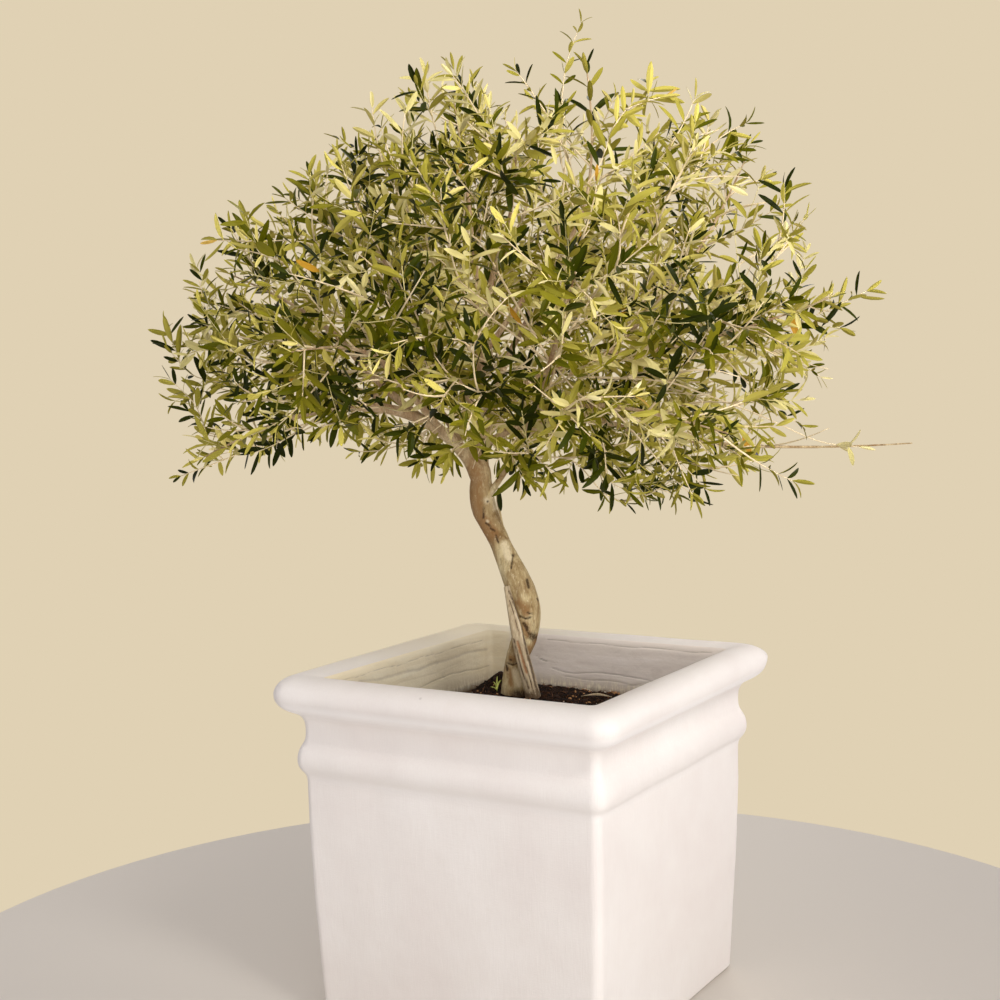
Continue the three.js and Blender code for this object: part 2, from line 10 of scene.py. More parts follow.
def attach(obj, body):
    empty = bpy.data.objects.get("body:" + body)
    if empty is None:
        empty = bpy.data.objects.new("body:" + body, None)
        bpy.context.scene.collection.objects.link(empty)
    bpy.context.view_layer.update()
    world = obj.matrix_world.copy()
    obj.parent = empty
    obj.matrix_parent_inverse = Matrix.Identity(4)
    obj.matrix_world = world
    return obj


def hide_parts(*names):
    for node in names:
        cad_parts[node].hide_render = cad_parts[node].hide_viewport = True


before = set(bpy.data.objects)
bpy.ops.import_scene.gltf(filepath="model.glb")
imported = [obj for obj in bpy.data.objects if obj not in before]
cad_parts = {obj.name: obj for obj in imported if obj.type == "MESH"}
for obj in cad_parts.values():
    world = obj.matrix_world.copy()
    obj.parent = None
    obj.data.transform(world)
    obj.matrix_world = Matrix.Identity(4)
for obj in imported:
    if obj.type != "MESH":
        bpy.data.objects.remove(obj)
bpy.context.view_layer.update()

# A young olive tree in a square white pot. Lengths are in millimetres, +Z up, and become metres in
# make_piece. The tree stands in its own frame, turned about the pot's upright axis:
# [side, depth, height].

MM = 0.001
ROOT = "root"

# The pot's moulded square section, as in its solid
POT_HEIGHT = 600
FOOT_HALF = 269
FOOT_ROUNDING = 10
BODY_TOP = 430
NECK_HALF = 283
BEAD_MIDDLE = 451
BEAD_PROUD = 14.5
BEAD_RISE = 33
NECK_TOP = 516
COVE_HALF = 299
COVE_TOP = 537
RIM_HALF = 327
RIM_WIDEST = 569
CREST_HALF = 292
OPENING_HALF = 268
OPENING_DROP = 6
INNER_LIP_DROP = 26
INNER_TOP_HALF = 260
INNER_FLOOR_HALF = 246
POT_FLOOR = 42
BODY_CORNER = 16
CORNER_GROWTH = 0.5
INNER_CORNER = 14

# How far the left wall's inside stands in from its solid, at the front and at the back
LEFT_LIP = (15, 24)

# The rim's right corner is fuller: where, how far it stands out, and how far round and down that reaches
FULL_CORNER = {"place": (318, 318), "height": 584, "out": 7, "round": 42, "deep": 16}

# How far coats of paint have run the moulding's edges together: [height, softness]
SOFTNESS = [(370, 0.01), (405, 8), (500, 9), (545, 11), (566, 0.01)]

# The soil: level at the walls, and the seat that the stems stand on
SOIL_EDGE = 492
SOIL_SEAT = 540
SEAT = (-8, -18)
SEAT_RADIUS = 62
HUMP = {"side": -50, "depth": 66, "rise": 26, "spread": 30}

TREE_TURN = math.radians(30.8)

# The trunk: [side, depth, height, radius] from the soil to the fork
TRUNK = [
    (-22, 0, 540.3, 27),
    (-19, -5, 600, 20),
    (-4, -14, 646, 22),
    (0, -18, 695, 24),
    (-16, -13, 742, 24),
    (-44, 2, 807, 18),
    (-72, 12, 875, 22),
    (-74, 10, 940, 16),
]
TRUNK_RINGS = 18

# The dry second stem that leans on the trunk
SECOND_STEM = [(8, -42, 540.3, 13), (-15, -49, 640, 11), (-34, -31, 735, 5)]
SECOND_STEM_RINGS = 7

# Boughs: name, the limb each is on and how far along it, a point halfway, the tip, and the radii at
# both ends
BOUGHS = [
    ("left", "trunk", 0.96, (-155, -20, 1015), (-265, -55, 1051), (12.5, 8)),
    ("leader", "trunk", 1, (-70, 22, 1060), (-73, 10, 1230), (10.5, 6)),
    ("front", "trunk", 0.87, (-8, -60, 980), (43, -190, 1121), (5.5, 4)),
    ("right", "leader", 0.15, (42, 30, 1023), (175, 40, 1003), (7, 5)),
    ("right_mid", "leader", 0.42, (66, 0, 1108), (221, -20, 1137), (6, 4.5)),
    ("top_right", "leader", 0.72, (12, 10, 1238), (79, 0, 1320), (5, 4)),
    ("upper_right", "right_mid", 0.75, (225, 20, 1205), (298, 40, 1289), (4.5, 3.5)),
    ("left_mid", "left", 0.55, (-245, -8, 1090), (-306, 20, 1157), (7, 5)),
    ("upper_left", "leader", 0.38, (-155, 30, 1160), (-216, 20, 1268), (6, 4.5)),
    ("front_left", "left", 0.35, (-180, -110, 1063), (-223, -200, 1122), (6, 4.5)),
    ("front_right", "front", 0.55, (72, -160, 1040), (135, -250, 1050), (4.2, 3.5)),
    ("back", "leader", 0.1, (-40, 120, 1085), (0, 230, 1170), (8, 5)),
    ("back_left", "left", 0.2, (-150, 120, 1040), (-215, 240, 1085), (6.5, 4.8)),
    ("back_right", "right", 0.3, (90, 130, 1045), (170, 240, 1070), (6, 4.5)),
    ("top_back", "leader", 0.85, (-45, 85, 1270), (0, 160, 1360), (5, 4)),
    ("top_front", "leader", 0.6, (-62, -70, 1205), (-30, -150, 1310), (5, 4)),
]
BOUGH_RINGS = 6

# Foliage: each mass grows on from its bough's tip towards reach and keeps to the space nearest to centre
MASSES = [
    {"name": "left", "reach": (-535, -110, 975), "centre": (-450, -110, 1030)},
    {"name": "leader", "reach": (-105, -30, 1560), "centre": (-110, -20, 1480)},
    {"name": "front", "reach": (72, -490, 1250), "centre": (50, -400, 1220)},
    {"name": "right", "reach": (694, 70, 962), "centre": (420, 40, 1010), "bare": 0.72},
    {"name": "right_mid", "reach": (522, -50, 1218), "centre": (430, -40, 1200)},
    {"name": "top_right", "reach": (120, -10, 1618), "centre": (110, -10, 1500)},
    {"name": "upper_right", "reach": (400, 55, 1468), "centre": (370, 60, 1400)},
    {"name": "left_mid", "reach": (-505, 36, 1285), "centre": (-450, 40, 1250)},
    {"name": "upper_left", "reach": (-300, 20, 1450), "centre": (-290, 20, 1410)},
    {"name": "front_left", "reach": (-345, -410, 1145), "centre": (-320, -350, 1140)},
    {"name": "front_right", "reach": (300, -395, 1010), "centre": (280, -370, 1050), "lowest": 868},
    {"name": "back", "reach": (25, 510, 1265), "centre": (10, 420, 1240)},
    {"name": "back_left", "reach": (-350, 405, 1085), "centre": (-310, 370, 1090)},
    {"name": "back_right", "reach": (345, 395, 1075), "centre": (310, 370, 1080)},
    {"name": "top_back", "reach": (25, 290, 1505), "centre": (10, 260, 1470)},
    {"name": "top_front", "reach": (-5, -295, 1480), "centre": (-10, -260, 1440)},
]
CELL_MARGIN = 1.5
LIMB_MARGIN = 1
CROWN = {"depth": 5, "base": 1000, "side": 625, "deep": 600, "high": 650, "lowest": 935}

# How a mass grows, by the solids' own rule
CROWN_SEED = 2953
TURN_KEY = 1
ANGLE_KEY = 2
LENGTH_KEY = 3
VARIATION = 0.3
THIRD_TURN = 2 * math.pi / 3
GOLDEN_ANGLE = math.radians(137.5)
STEM_EAGER = 0.35
STEM_LEAVES_FROM = 0.5
TWIGS = 7
TWIG_FIRST = 0.14
TWIG_LAST = 0.97
TWIG_LENGTH = 265
TWIG_TAPER = 0.5
TWIG_SPREAD = math.radians(52)
TWIG_LIFT = 0.16
TWIG_WANDER = 0.7
TWIG_SHORTEST = 70
TWIG_SHORTENING = 0.12
TWIG_ROOM = 3.6
TWIG_TESTS = 4
TWIG_LEAVES_FROM = 0.2
LEAF_PITCH = 40
FIRST_PAIR = 0.4
LEAF_ANGLE = math.radians(48)
LEAF_REACH = 88
LEAF_ROOM = 8
LEAF_OUTSIDE = 22
SOLID_TWIG = (3.6, 2.6)
GUIDE = np.array([0.36, 0.48, 0.8])
UP = np.array([0.0, 0.0, 1.0])
ALONG_X = np.array([1.0, 0.0, 0.0])

# The finer growth: leafy shoots where some of the solids' large leaves stand, and pairs of leaves
STEM_TIP_RADIUS = 1.1
TWIG_RADII = (1.9, 0.7)
SHOOT_RADII = (0.9, 0.45)
SHOOT_SHARE = 0.42
SHOOT_LENGTHS = (62, 100)
SHOOT_LIFT = 0.14
SHOOT_PITCH = 48
TWIG_STEP = 22
WOOD_SPACING = 18
LEAF_PAIR_PITCH = 17.5
PAIR_ANGLE = math.radians(50)
PAIR_LOSS = 0.08
TIP_ANGLE = math.radians(24)
TIP_SIZE = 0.7
LEAF_LENGTHS = (33, 54)
LEAF_SLIMNESS = 4.6
LEAF_ROLL = 0.8
LEAF_THICKNESS = 0.55
LEAF_GLOSS = 0.06

# The crown's outline as seen from the front: [side, height], and the middle that it is measured from
CROWN_EDGE = [
    (-620, 950), (-630, 1190), (-560, 1350), (-410, 1450), (-300, 1530), (-180, 1640), (-85, 1665),
    (60, 1590), (140, 1555), (230, 1590), (415, 1530), (485, 1420), (535, 1290), (600, 1200), (560, 1060),
    (480, 990), (370, 900), (240, 860), (90, 890), (-80, 930), (-270, 975), (-410, 985), (-550, 940),
]
CROWN_MIDDLE = (0, 1130)

# Leaves turn their upper sides away from here
CROWN_HEART = np.array([-60.0, 5.0, 1000.0])

# Places where the front view shows sky through the crown: [side, height], the radius, and the share
# of the shoots that are missing
THIN_PLACES = [
    ((95, 1575), 105, 0.9),
    ((85, 1465), 85, 0.9),
    ((365, 1385), 75, 0.7),
    ((445, 1280), 70, 0.85),
    ((500, 1190), 95, 0.9),
    ((350, 1105), 60, 0.5),
    ((-531, 1025), 70, 0.8),
    ((437, 925), 60, 0.8),
]

# Further twigs fill the crown evenly: each grows from the nearest wood to a place that has no leaves near
FILL_STEP = 64
FILL_BOX = [(-640, 641), (-600, 601), (860, 1680)]
FILL_SHARES = (0.3, 0.93)
FILL_ROOMS = (33, 49)
FILL_LENGTHS = (80, 290)
FILL_ROOM = 2
EDGE_TARGETS = 72
EDGE_DEPTHS = (-130, 90)
OUTLINE_REACH = 105
SHOWN_SHOOTS = 0.45

chance = random.Random(CROWN_SEED)


# Vectors and curves

def unit(vector):
    return vector / np.linalg.norm(vector)


def rotated(vector, axis, angle):
    turned = vector * math.cos(angle) + np.cross(axis, vector) * math.sin(angle)
    return turned + axis * np.dot(axis, vector) * (1 - math.cos(angle))


def square_to(along):
    """A direction square to along, and level unless along is nearly upright."""
    return unit(np.cross(along, UP if abs(along[2]) < 0.9 else ALONG_X))


def mix(a, b, share):
    return a + (b - a) * share


def reach_along(path):
    """How far along the path each of its points lies."""
    return np.concatenate([[0], np.cumsum(np.linalg.norm(np.diff(path, axis=0), axis=1))])


class Curve:
    """A curve that gives its point at any share from 0 to 1."""

    def path(self, steps):
        return np.array([self.point(i / steps) for i in range(steps + 1)])


class Bend(Curve):
    """A quadratic curve through its start and end, pulled towards its control point."""

    def __init__(self, start, control, end):
        self.start, self.control, self.end = start, control, end

    def point(self, t):
        return (1 - t) ** 2 * self.start + 2 * t * (1 - t) * self.control + t * t * self.end

    def tangent(self, t):
        return unit((1 - t) * (self.control - self.start) + t * (self.end - self.control))

    def length(self):
        return float(reach_along(self.path(20))[-1])


class Spline(Curve):
    """A smooth curve through rows of numbers: places, or places with the radius there."""

    def __init__(self, rows):
        rows = np.array(rows, float)
        self.rows = np.concatenate([2 * rows[:1] - rows[1:2], rows, 2 * rows[-1:] - rows[-2:-1]])

    def point(self, t):
        place = t * (len(self.rows) - 3)
        i = min(int(place), len(self.rows) - 4)
        w = place - i
        p0, p1, p2, p3 = self.rows[i:i + 4]
        t0, t1 = 0.5 * (p2 - p0), 0.5 * (p3 - p1)
        return p1 + t0 * w + (3 * (p2 - p1) - 2 * t0 - t1) * w ** 2 + (2 * (p1 - p2) + t0 + t1) * w ** 3


class Route(Curve):
    """A smooth curve through chosen points, with its shares measured along its length."""

    def __init__(self, points):
        self.curve = Spline(points).path(48)
        self.reach = reach_along(self.curve)

    def point(self, t):
        return np.array([np.interp(t * self.reach[-1], self.reach, self.curve[:, k]) for k in range(3)])

    def tangent(self, t):
        return unit(self.point(min(1, t + 0.02)) - self.point(max(0, t - 0.02)))

    def length(self):
        return float(self.reach[-1])


def even_path(path, radii, spacing):
    """The same path with its points at even distances, and the radii there."""
    reach = reach_along(path)
    places = np.linspace(0, reach[-1], max(3, int(reach[-1] / spacing)))
    even = np.stack([np.interp(places, reach, path[:, k]) for k in range(3)], axis=1)
    return even, np.interp(places, reach, radii)


def smoothed(values, rounds):
    for _ in range(rounds):
        inner = 0.25 * values[:-2] + 0.5 * values[1:-1] + 0.25 * values[2:]
        values = np.concatenate([values[:1], inner, values[-1:]])
    return values


def noise_at(points, scale, shift=0.0):
    """Smooth noise from -1 to 1 at each point, with features about scale long."""
    places = (np.asarray(points).reshape(-1, 3) / scale + shift).tolist()
    return np.array([noise.noise(p) for p in places])


def waves(points, *layers):
    """Noise of several sizes together, each with its height, length and shift."""
    return sum(height * noise_at(points, length, shift) for height, length, shift in layers)


# Meshes

class Shape:
    """Points and faces gathered for one piece. A set of faces has rows of equal length."""

    def __init__(self):
        self.points, self.faces, self.count = [], [], 0

    def add(self, points, *face_sets, materials=()):
        """More points and faces. Each set has the number of its material, or else 0."""
        for faces, material in zip_longest(face_sets, materials, fillvalue=0):
            self.faces.append((np.asarray(faces) + self.count, material))
        self.points.append(np.asarray(points, float))
        self.count += len(points)


def make_piece(name, shape, materials, replaced, in_tree=True, smooth=True):
    """One mesh object that rides on the root body and stands for the nodes it replaces."""
    points = np.concatenate(shape.points) * MM
    if in_tree:
        c, s = math.cos(TREE_TURN), math.sin(TREE_TURN)
        points = points @ np.array([[c, s, 0], [-s, c, 0], [0, 0, 1]])
    corners = np.concatenate([faces.ravel() for faces, _ in shape.faces])
    sizes = np.concatenate([np.full(len(faces), faces.shape[1]) for faces, _ in shape.faces])
    numbers = np.concatenate([np.full(len(faces), material) for faces, material in shape.faces])
    mesh = bpy.data.meshes.new(name)
    mesh.vertices.add(len(points))
    mesh.loops.add(len(corners))
    mesh.polygons.add(len(sizes))
    mesh.vertices.foreach_set("co", points.astype(np.float32).ravel())
    mesh.loops.foreach_set("vertex_index", corners.astype(np.int32))
    mesh.polygons.foreach_set("loop_start", (np.cumsum(sizes) - sizes).astype(np.int32))
    mesh.polygons.foreach_set("material_index", numbers.astype(np.int32))
    mesh.polygons.foreach_set("use_smooth", np.full(len(sizes), smooth))
    for material in materials:
        mesh.materials.append(material)
    mesh.update(calc_edges=True)
    mesh.validate()
    piece = bpy.data.objects.new(name, mesh)
    bpy.context.scene.collection.objects.link(piece)
    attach(piece, ROOT)
    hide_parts(*replaced)
    return piece


def add_tone(piece, name, values):
    """A number at each of the piece's points, for its material."""
    piece.data.attributes.new(name, "FLOAT", "POINT").data.foreach_set("value", values.astype(np.float32))


def grid_quads(corner, beside, opposite, across):
    return np.stack([corner, beside, opposite, across], axis=2).reshape(-1, 4)


def ring_quads(rings, around):
    """Faces between rings of equal count, each ring closed on itself."""
    here = np.arange(rings * around).reshape(rings, around)
    after = np.roll(here, -1, axis=1)
    return grid_quads(here[:-1], after[:-1], after[1:], here[1:])


def end_fans(rings, around):
    """Triangles from two added middle points to the first and the last ring."""
    first = np.arange(around)
    last = first + (rings - 1) * around
    middle = np.full(around, rings * around)
    fans = [(middle, np.roll(first, -1), first), (middle + 1, last, np.roll(last, -1))]
    return np.concatenate([np.stack(fan, axis=1) for fan in fans])


def tube(shape, path, radii, sides, relief=None):
    """A closed round limb along a path. relief(points, outward) gives how far each point stands out."""
    path = np.asarray(path, float)
    along = np.gradient(path, axis=0)
    along /= np.linalg.norm(along, axis=1)[:, None]
    across = [square_to(along[0])]
    for direction in along:
        across.append(unit(across[-1] - direction * np.dot(across[-1], direction)))
    across = np.array(across[1:])
    third = np.cross(along, across)
    angles = np.arange(sides) * 2 * math.pi / sides
    round_x, round_y = np.cos(angles)[None, :, None], np.sin(angles)[None, :, None]
    outward = across[:, None] * round_x + third[:, None] * round_y
    outward = outward.reshape(-1, 3)
    points = np.repeat(path, sides, axis=0) + outward * np.repeat(radii, sides)[:, None]
    if relief:
        points = points + outward * relief(points, outward)[:, None]
    points = np.concatenate([points, path[:1], path[-1:]])
    shape.add(points, ring_quads(len(path), sides), end_fans(len(path), sides))


# Materials

def srgb(colour):
    """A linear colour from display values of 0 to 255."""
    shares = [v / 255 for v in colour]
    return tuple(v / 12.92 if v <= 0.04045 else ((v + 0.055) / 1.055) ** 2.4 for v in shares)


class Finish:
    """A procedural material, built up node by node round one Principled shader.

    Colours are display values. Values of other nodes may stand wherever a number or a colour does.
    """

    def __init__(self, name, rough, gloss=0.5, colour=None):
        self.material = bpy.data.materials.new(name)
        self.material.use_nodes = True
        self.nodes = self.material.node_tree.nodes
        self.links = self.material.node_tree.links
        self.shader = self.nodes["Principled BSDF"]
        self.put(rough, self.shader.inputs["Roughness"])
        self.put(gloss, self.shader.inputs["Specular IOR Level"])
        if colour:
            self.put(colour, self.shader.inputs["Base Color"])

    def put(self, value, socket):
        if isinstance(value, bpy.types.NodeSocket):
            self.links.new(value, socket)
        elif socket.type == "RGBA":
            socket.default_value = (*srgb(value), 1)
        else:
            socket.default_value = value

    def node(self, kind, values, output, **properties):
        """One output of a new node, whose sockets are set by name or by number."""
        made = self.nodes.new(kind)
        for key, value in properties.items():
            setattr(made, key, value)
        for key, value in values.items():
            self.put(value, made.inputs[key])
        return made.outputs[output]

    def place(self):
        """Object coordinates in metres."""
        return self.node("ShaderNodeTexCoord", {}, "Object")

    def axis(self, name):
        return self.node("ShaderNodeSeparateXYZ", {"Vector": self.place()}, name)

    def noise(self, scale, detail=3.0, rough=0.55, distortion=0.0):
        """Noise from 0 to 1. The scale is one number, or one for each axis."""
        stretch, scale = (scale, 1.0) if isinstance(scale, tuple) else ((1, 1, 1), scale)
        place = self.node("ShaderNodeMapping", {"Vector": self.place(), "Scale": stretch}, "Vector")
        values = {"Vector": place, "Scale": scale, "Detail": detail, "Roughness": rough}
        values["Distortion"] = distortion
        return self.node("ShaderNodeTexNoise", values, "Fac")

    def ramp(self, factor, *stops):
        """Colours or plain numbers at places from 0 to 1 along factor."""
        made = self.nodes.new("ShaderNodeValToRGB")
        self.put(factor, made.inputs["Fac"])
        elements = made.color_ramp.elements
        while len(elements) < len(stops):
            elements.new(0.5)
        for element, (place, colour) in zip(elements, stops):
            element.position = place
            element.color = (*srgb(colour), 1) if isinstance(colour, tuple) else (colour, colour, colour, 1)
        return made.outputs["Color"]

    def blend(self, factor, below, above):
        values = {"Factor": factor, "A": below, "B": above}
        return self.node("ShaderNodeMix", values, "Result", data_type="RGBA")

    def over(self, colour, above, mask, low, high, most):
        """Another colour laid over: none of it where mask is low, and its share most where mask is high."""
        return self.blend(self.ramp(mask, (low, 0.0), (high, most)), colour, above)

    def number(self, way, a, b=0.0):
        return self.node("ShaderNodeMath", {0: a, 1: b}, "Value", operation=way)

    def times(self, a, b):
        return self.number("MULTIPLY", a, b)

    def span(self, value, low, high, most=1.0):
        """0 where value is low, most where it is high, and in even steps between."""
        values = {"Value": value, "From Min": low, "From Max": high, "To Max": most}
        return self.node("ShaderNodeMapRange", values, "Result")

    def spot(self, centre, radius):
        """1 close to a point, given in millimetres, and 0 further off than the radius."""
        values = {0: self.place(), 1: [MM * v for v in centre]}
        away = self.node("ShaderNodeVectorMath", values, "Value", operation="DISTANCE")
        return self.span(away, radius * MM, 0.4 * radius * MM)

    def attribute(self, name):
        return self.node("ShaderNodeAttribute", {}, "Fac", attribute_name=name)

    def done(self, colour, *bumps):
        """The material with its colour, and with its relief: a value, a depth in metres and a strength."""
        self.put(colour, self.shader.inputs["Base Color"])
        normal = {}
        for value, depth, strength in bumps:
            values = {"Height": value, "Distance": depth, "Strength": strength, **normal}
            normal = {"Normal": self.node("ShaderNodeBump", values, "Normal")}
        for name, value in normal.items():
            self.put(value, self.shader.inputs[name])
        return self.material


def mottled(name, rough, scale, low, high):
    """A material of two colours in small patches, each colour with its place along the noise."""
    finish = Finish(name, rough)
    return finish.done(finish.ramp(finish.noise(scale), low, high))


# Pot

CORNER_POINTS = 10
SIDE_POINTS = 84
BODY_ROWS = 70
NECK_ROWS = 6
LIP_ROWS = 6
WALL_ROWS = 60
LOW_WALL_ROWS = 7
INNER_BOTTOM = 440
SHOWN_WALL = 484

# Unevenness of the plaster: [height, length, shift] of each wave
SKIN_WAVES = [(0.9, 95, 0.0), (0.35, 28, 5.7), (0.12, 9, 2.3)]
CREASE_WAVES = [(1.5, 40, 6.6), (0.8, 11, 2.9)]
INNER_WAVE = (0.3, 14, 9.1)
UPRIGHT_WAVE = (0.7, 60, 11.9)
MOULDING_WAVE = (1.3, 110, 4.4)


def section_arc(half, height, wide, tall, first, last, steps):
    """Points of an elliptical arc of the section, from one angle to another in quarter turns."""
    angles = (first + (last - first) * np.arange(steps + 1) / steps) * math.pi / 2
    return [(half + wide * math.cos(a), height + tall * math.sin(a)) for a in angles]


def inner_half(height):
    share = (height - POT_FLOOR) / (POT_HEIGHT - INNER_LIP_DROP - POT_FLOOR)
    return INNER_FLOOR_HALF + (INNER_TOP_HALF - INNER_FLOOR_HALF) * share


def rounded_square(half, corner):
    """A ring of the pot's plan and the way out from each point."""
    centre = half - corner
    points, outward = [], []
    for quarter in range(4):
        turn = quarter * math.pi / 2
        c, s = math.cos(turn), math.sin(turn)
        for step in range(CORNER_POINTS + 1):
            angle = turn + step / CORNER_POINTS * math.pi / 2
            away = (math.cos(angle), math.sin(angle))
            points.append((centre * (c - s) + corner * away[0], centre * (s + c) + corner * away[1]))
            outward.append(away)
        for point in range(1, SIDE_POINTS + 1):
            along = centre * (1 - 2 * point / (SIDE_POINTS + 1))
            points.append((along * c - half * s, along * s + half * c))
            outward.append((-s, c))
    return np.array(points), np.array(outward)


def pot_sections():
    """The outside profile from the foot to the lip, and the inside one from the lip down."""
    foot = section_arc(FOOT_HALF - FOOT_ROUNDING, FOOT_ROUNDING, FOOT_ROUNDING, FOOT_ROUNDING, -1, 0, 6)
    body = []
    for row in range(1, BODY_ROWS + 1):
        share = row / BODY_ROWS
        half = FOOT_HALF + (NECK_HALF - FOOT_HALF) * math.sin(share * math.pi / 2)
        body.append((half, mix(FOOT_ROUNDING, BODY_TOP, share)))
    neck = [(NECK_HALF, mix(BEAD_MIDDLE + BEAD_RISE, NECK_TOP, k / NECK_ROWS)) for k in range(1, NECK_ROWS)]
    outside = [
        *foot, *body,
        *section_arc(NECK_HALF, BEAD_MIDDLE, BEAD_PROUD, BEAD_MIDDLE - BODY_TOP, -1, 0, 12)[1:],
        *section_arc(NECK_HALF, BEAD_MIDDLE, BEAD_PROUD, BEAD_RISE, 0, 1, 11)[1:],
        *neck,
        *section_arc(COVE_HALF, NECK_TOP, NECK_HALF - COVE_HALF, COVE_TOP - NECK_TOP, 0, 1, 10),
        *section_arc(COVE_HALF, RIM_WIDEST, RIM_HALF - COVE_HALF, RIM_WIDEST - COVE_TOP, -1, 0, 12)[1:],
        *section_arc(CREST_HALF, RIM_WIDEST, RIM_HALF - CREST_HALF, POT_HEIGHT - RIM_WIDEST, 0, 1, 14)[1:],
    ]
    lip = []
    for row in range(1, LIP_ROWS + 1):
        share = row / LIP_ROWS
        lip.append((mix(CREST_HALF, OPENING_HALF, share), POT_HEIGHT - OPENING_DROP * share ** 2))
    inner_top = POT_HEIGHT - INNER_LIP_DROP
    turn_in = section_arc(OPENING_HALF, inner_top, INNER_TOP_HALF - OPENING_HALF,
                          INNER_LIP_DROP - OPENING_DROP, 1, 0, 16)[1:]
    shown_rows = np.linspace(inner_top, SHOWN_WALL, WALL_ROWS + 1)[1:]
    low_rows = np.linspace(SHOWN_WALL, INNER_BOTTOM, LOW_WALL_ROWS + 1)[1:]
    wall = [(inner_half(height), height) for height in [*shown_rows, *low_rows]]
    return softened(outside) + lip, turn_in + wall


def softened(rows):
    """The same profile with its edges run together."""
    rows = np.array(rows, float)
    reach = reach_along(rows)
    spacing = np.gradient(reach)
    soft = []
    for place, height in zip(reach, rows[:, 1]):
        weights = spacing * np.exp(-0.5 * ((reach - place) / np.interp(height, *zip(*SOFTNESS))) ** 2)
        soft.append(tuple(weights @ rows / weights.sum()))
    return soft


def lip_shift(x, y):
    """How far the left wall's inside stands in from its solid, most of all at the back."""
    inward = mix(*LEFT_LIP, (y + OPENING_HALF) / (2 * OPENING_HALF))
    return inward * np.clip(-x / OPENING_HALF, 0, 1) ** 2


def line_distance(along, height, points):
    """How far each place is from the line through points, or from the only point."""
    places = np.stack([along, height], axis=1)
    points = [np.array(point, float) for point in points]
    nearest = np.full(len(places), np.inf)
    for a, b in zip(points, points[1:] or points):
        share = np.clip((places - a) @ (b - a) / max((b - a) @ (b - a), 1e-9), 0, 1)
        nearest = np.minimum(nearest, np.linalg.norm(places - a - share[:, None] * (b - a), axis=1))
    return nearest


# Creases and cracks of the plaster inside: the wall (0 back, 1 left, 2 front, 3 right), the width, the
# depth, and the points it runs through: [along the wall, height]. The depth also sets the painted shade in
# them.
CREASES = [
    (0, 1.3, 1.3, [(-110, 585), (-50, 584), (10, 585), (50, 583), (110, 585), (190, 584), (240, 586)]),
    (0, 1.3, 1.6, [(51, 590), (52, 579)]),
    (0, 1.5, 1.4, [(-98, 530), (-75, 526), (-48, 523), (-22, 527), (5, 530),
                   (30, 529), (57, 528), (83, 526), (108, 525), (160, 519), (220, 522)]),
    (0, 1.3, 1.2, [(-137, 552), (-111, 542)]),
    (0, 1.2, 1.0, [(-134, 546), (-108, 544)]),
    (0, 1.4, 1.1, [(-70, 517), (-20, 514), (30, 516), (80, 512), (120, 518)]),
    (0, 1.3, 0.9, [(60, 508), (108, 521)]),
    (1, 1.3, 1.1, [(-226, 582), (-168, 580), (-120, 582), (-44, 578),
                   (20, 581), (90, 578), (160, 580), (235, 577)]),
    (1, 5.0, 0.8, [(-170, 570), (-100, 564), (-40, 563), (20, 560),
                   (72, 562), (120, 560), (180, 563), (250, 558)]),
    (1, 1.4, 1.2, [(10, 524), (40, 527), (70, 530), (132, 531), (172, 529), (228, 524), (256, 525)]),
    (1, 1.4, 0.5, [(-200, 545), (-120, 541), (-30, 546), (60, 543), (150, 548)]),
    (2, 1.8, 1.4, [(-220, 560), (-80, 552), (60, 558), (200, 549)]),
    (2, 1.6, 1.2, [(-150, 524), (0, 529), (170, 521)]),
    (3, 1.8, 1.4, [(-210, 556), (-60, 562), (90, 553), (220, 559)]),
    (3, 1.6, 1.2, [(-170, 527), (-20, 519), (140, 530)]),
]
CREASE_ROUNDING = 0.75


def crease_depth(x, y, z):
    """How far the inner walls are pressed in along their creases."""
    walls = [(y > np.abs(x), x), (x < -np.abs(y), y), (y < -np.abs(x), x), (x > np.abs(y), y)]
    depth = np.zeros_like(x)
    for number, width, press, points in CREASES:
        on_wall, along = walls[number]
        away = line_distance(along, z, points) / width / CREASE_ROUNDING
        depth += on_wall * press * np.exp(-away ** 2)
    return depth


def corner_fullness(x, y, height):
    """How far the rim's right corner stands out from its section."""
    far = np.hypot(x - FULL_CORNER["place"][0], y - FULL_CORNER["place"][1]) / FULL_CORNER["round"]
    off = (height - FULL_CORNER["height"]) / FULL_CORNER["deep"]
    return FULL_CORNER["out"] * np.exp(-far ** 2) * math.exp(-off ** 2)


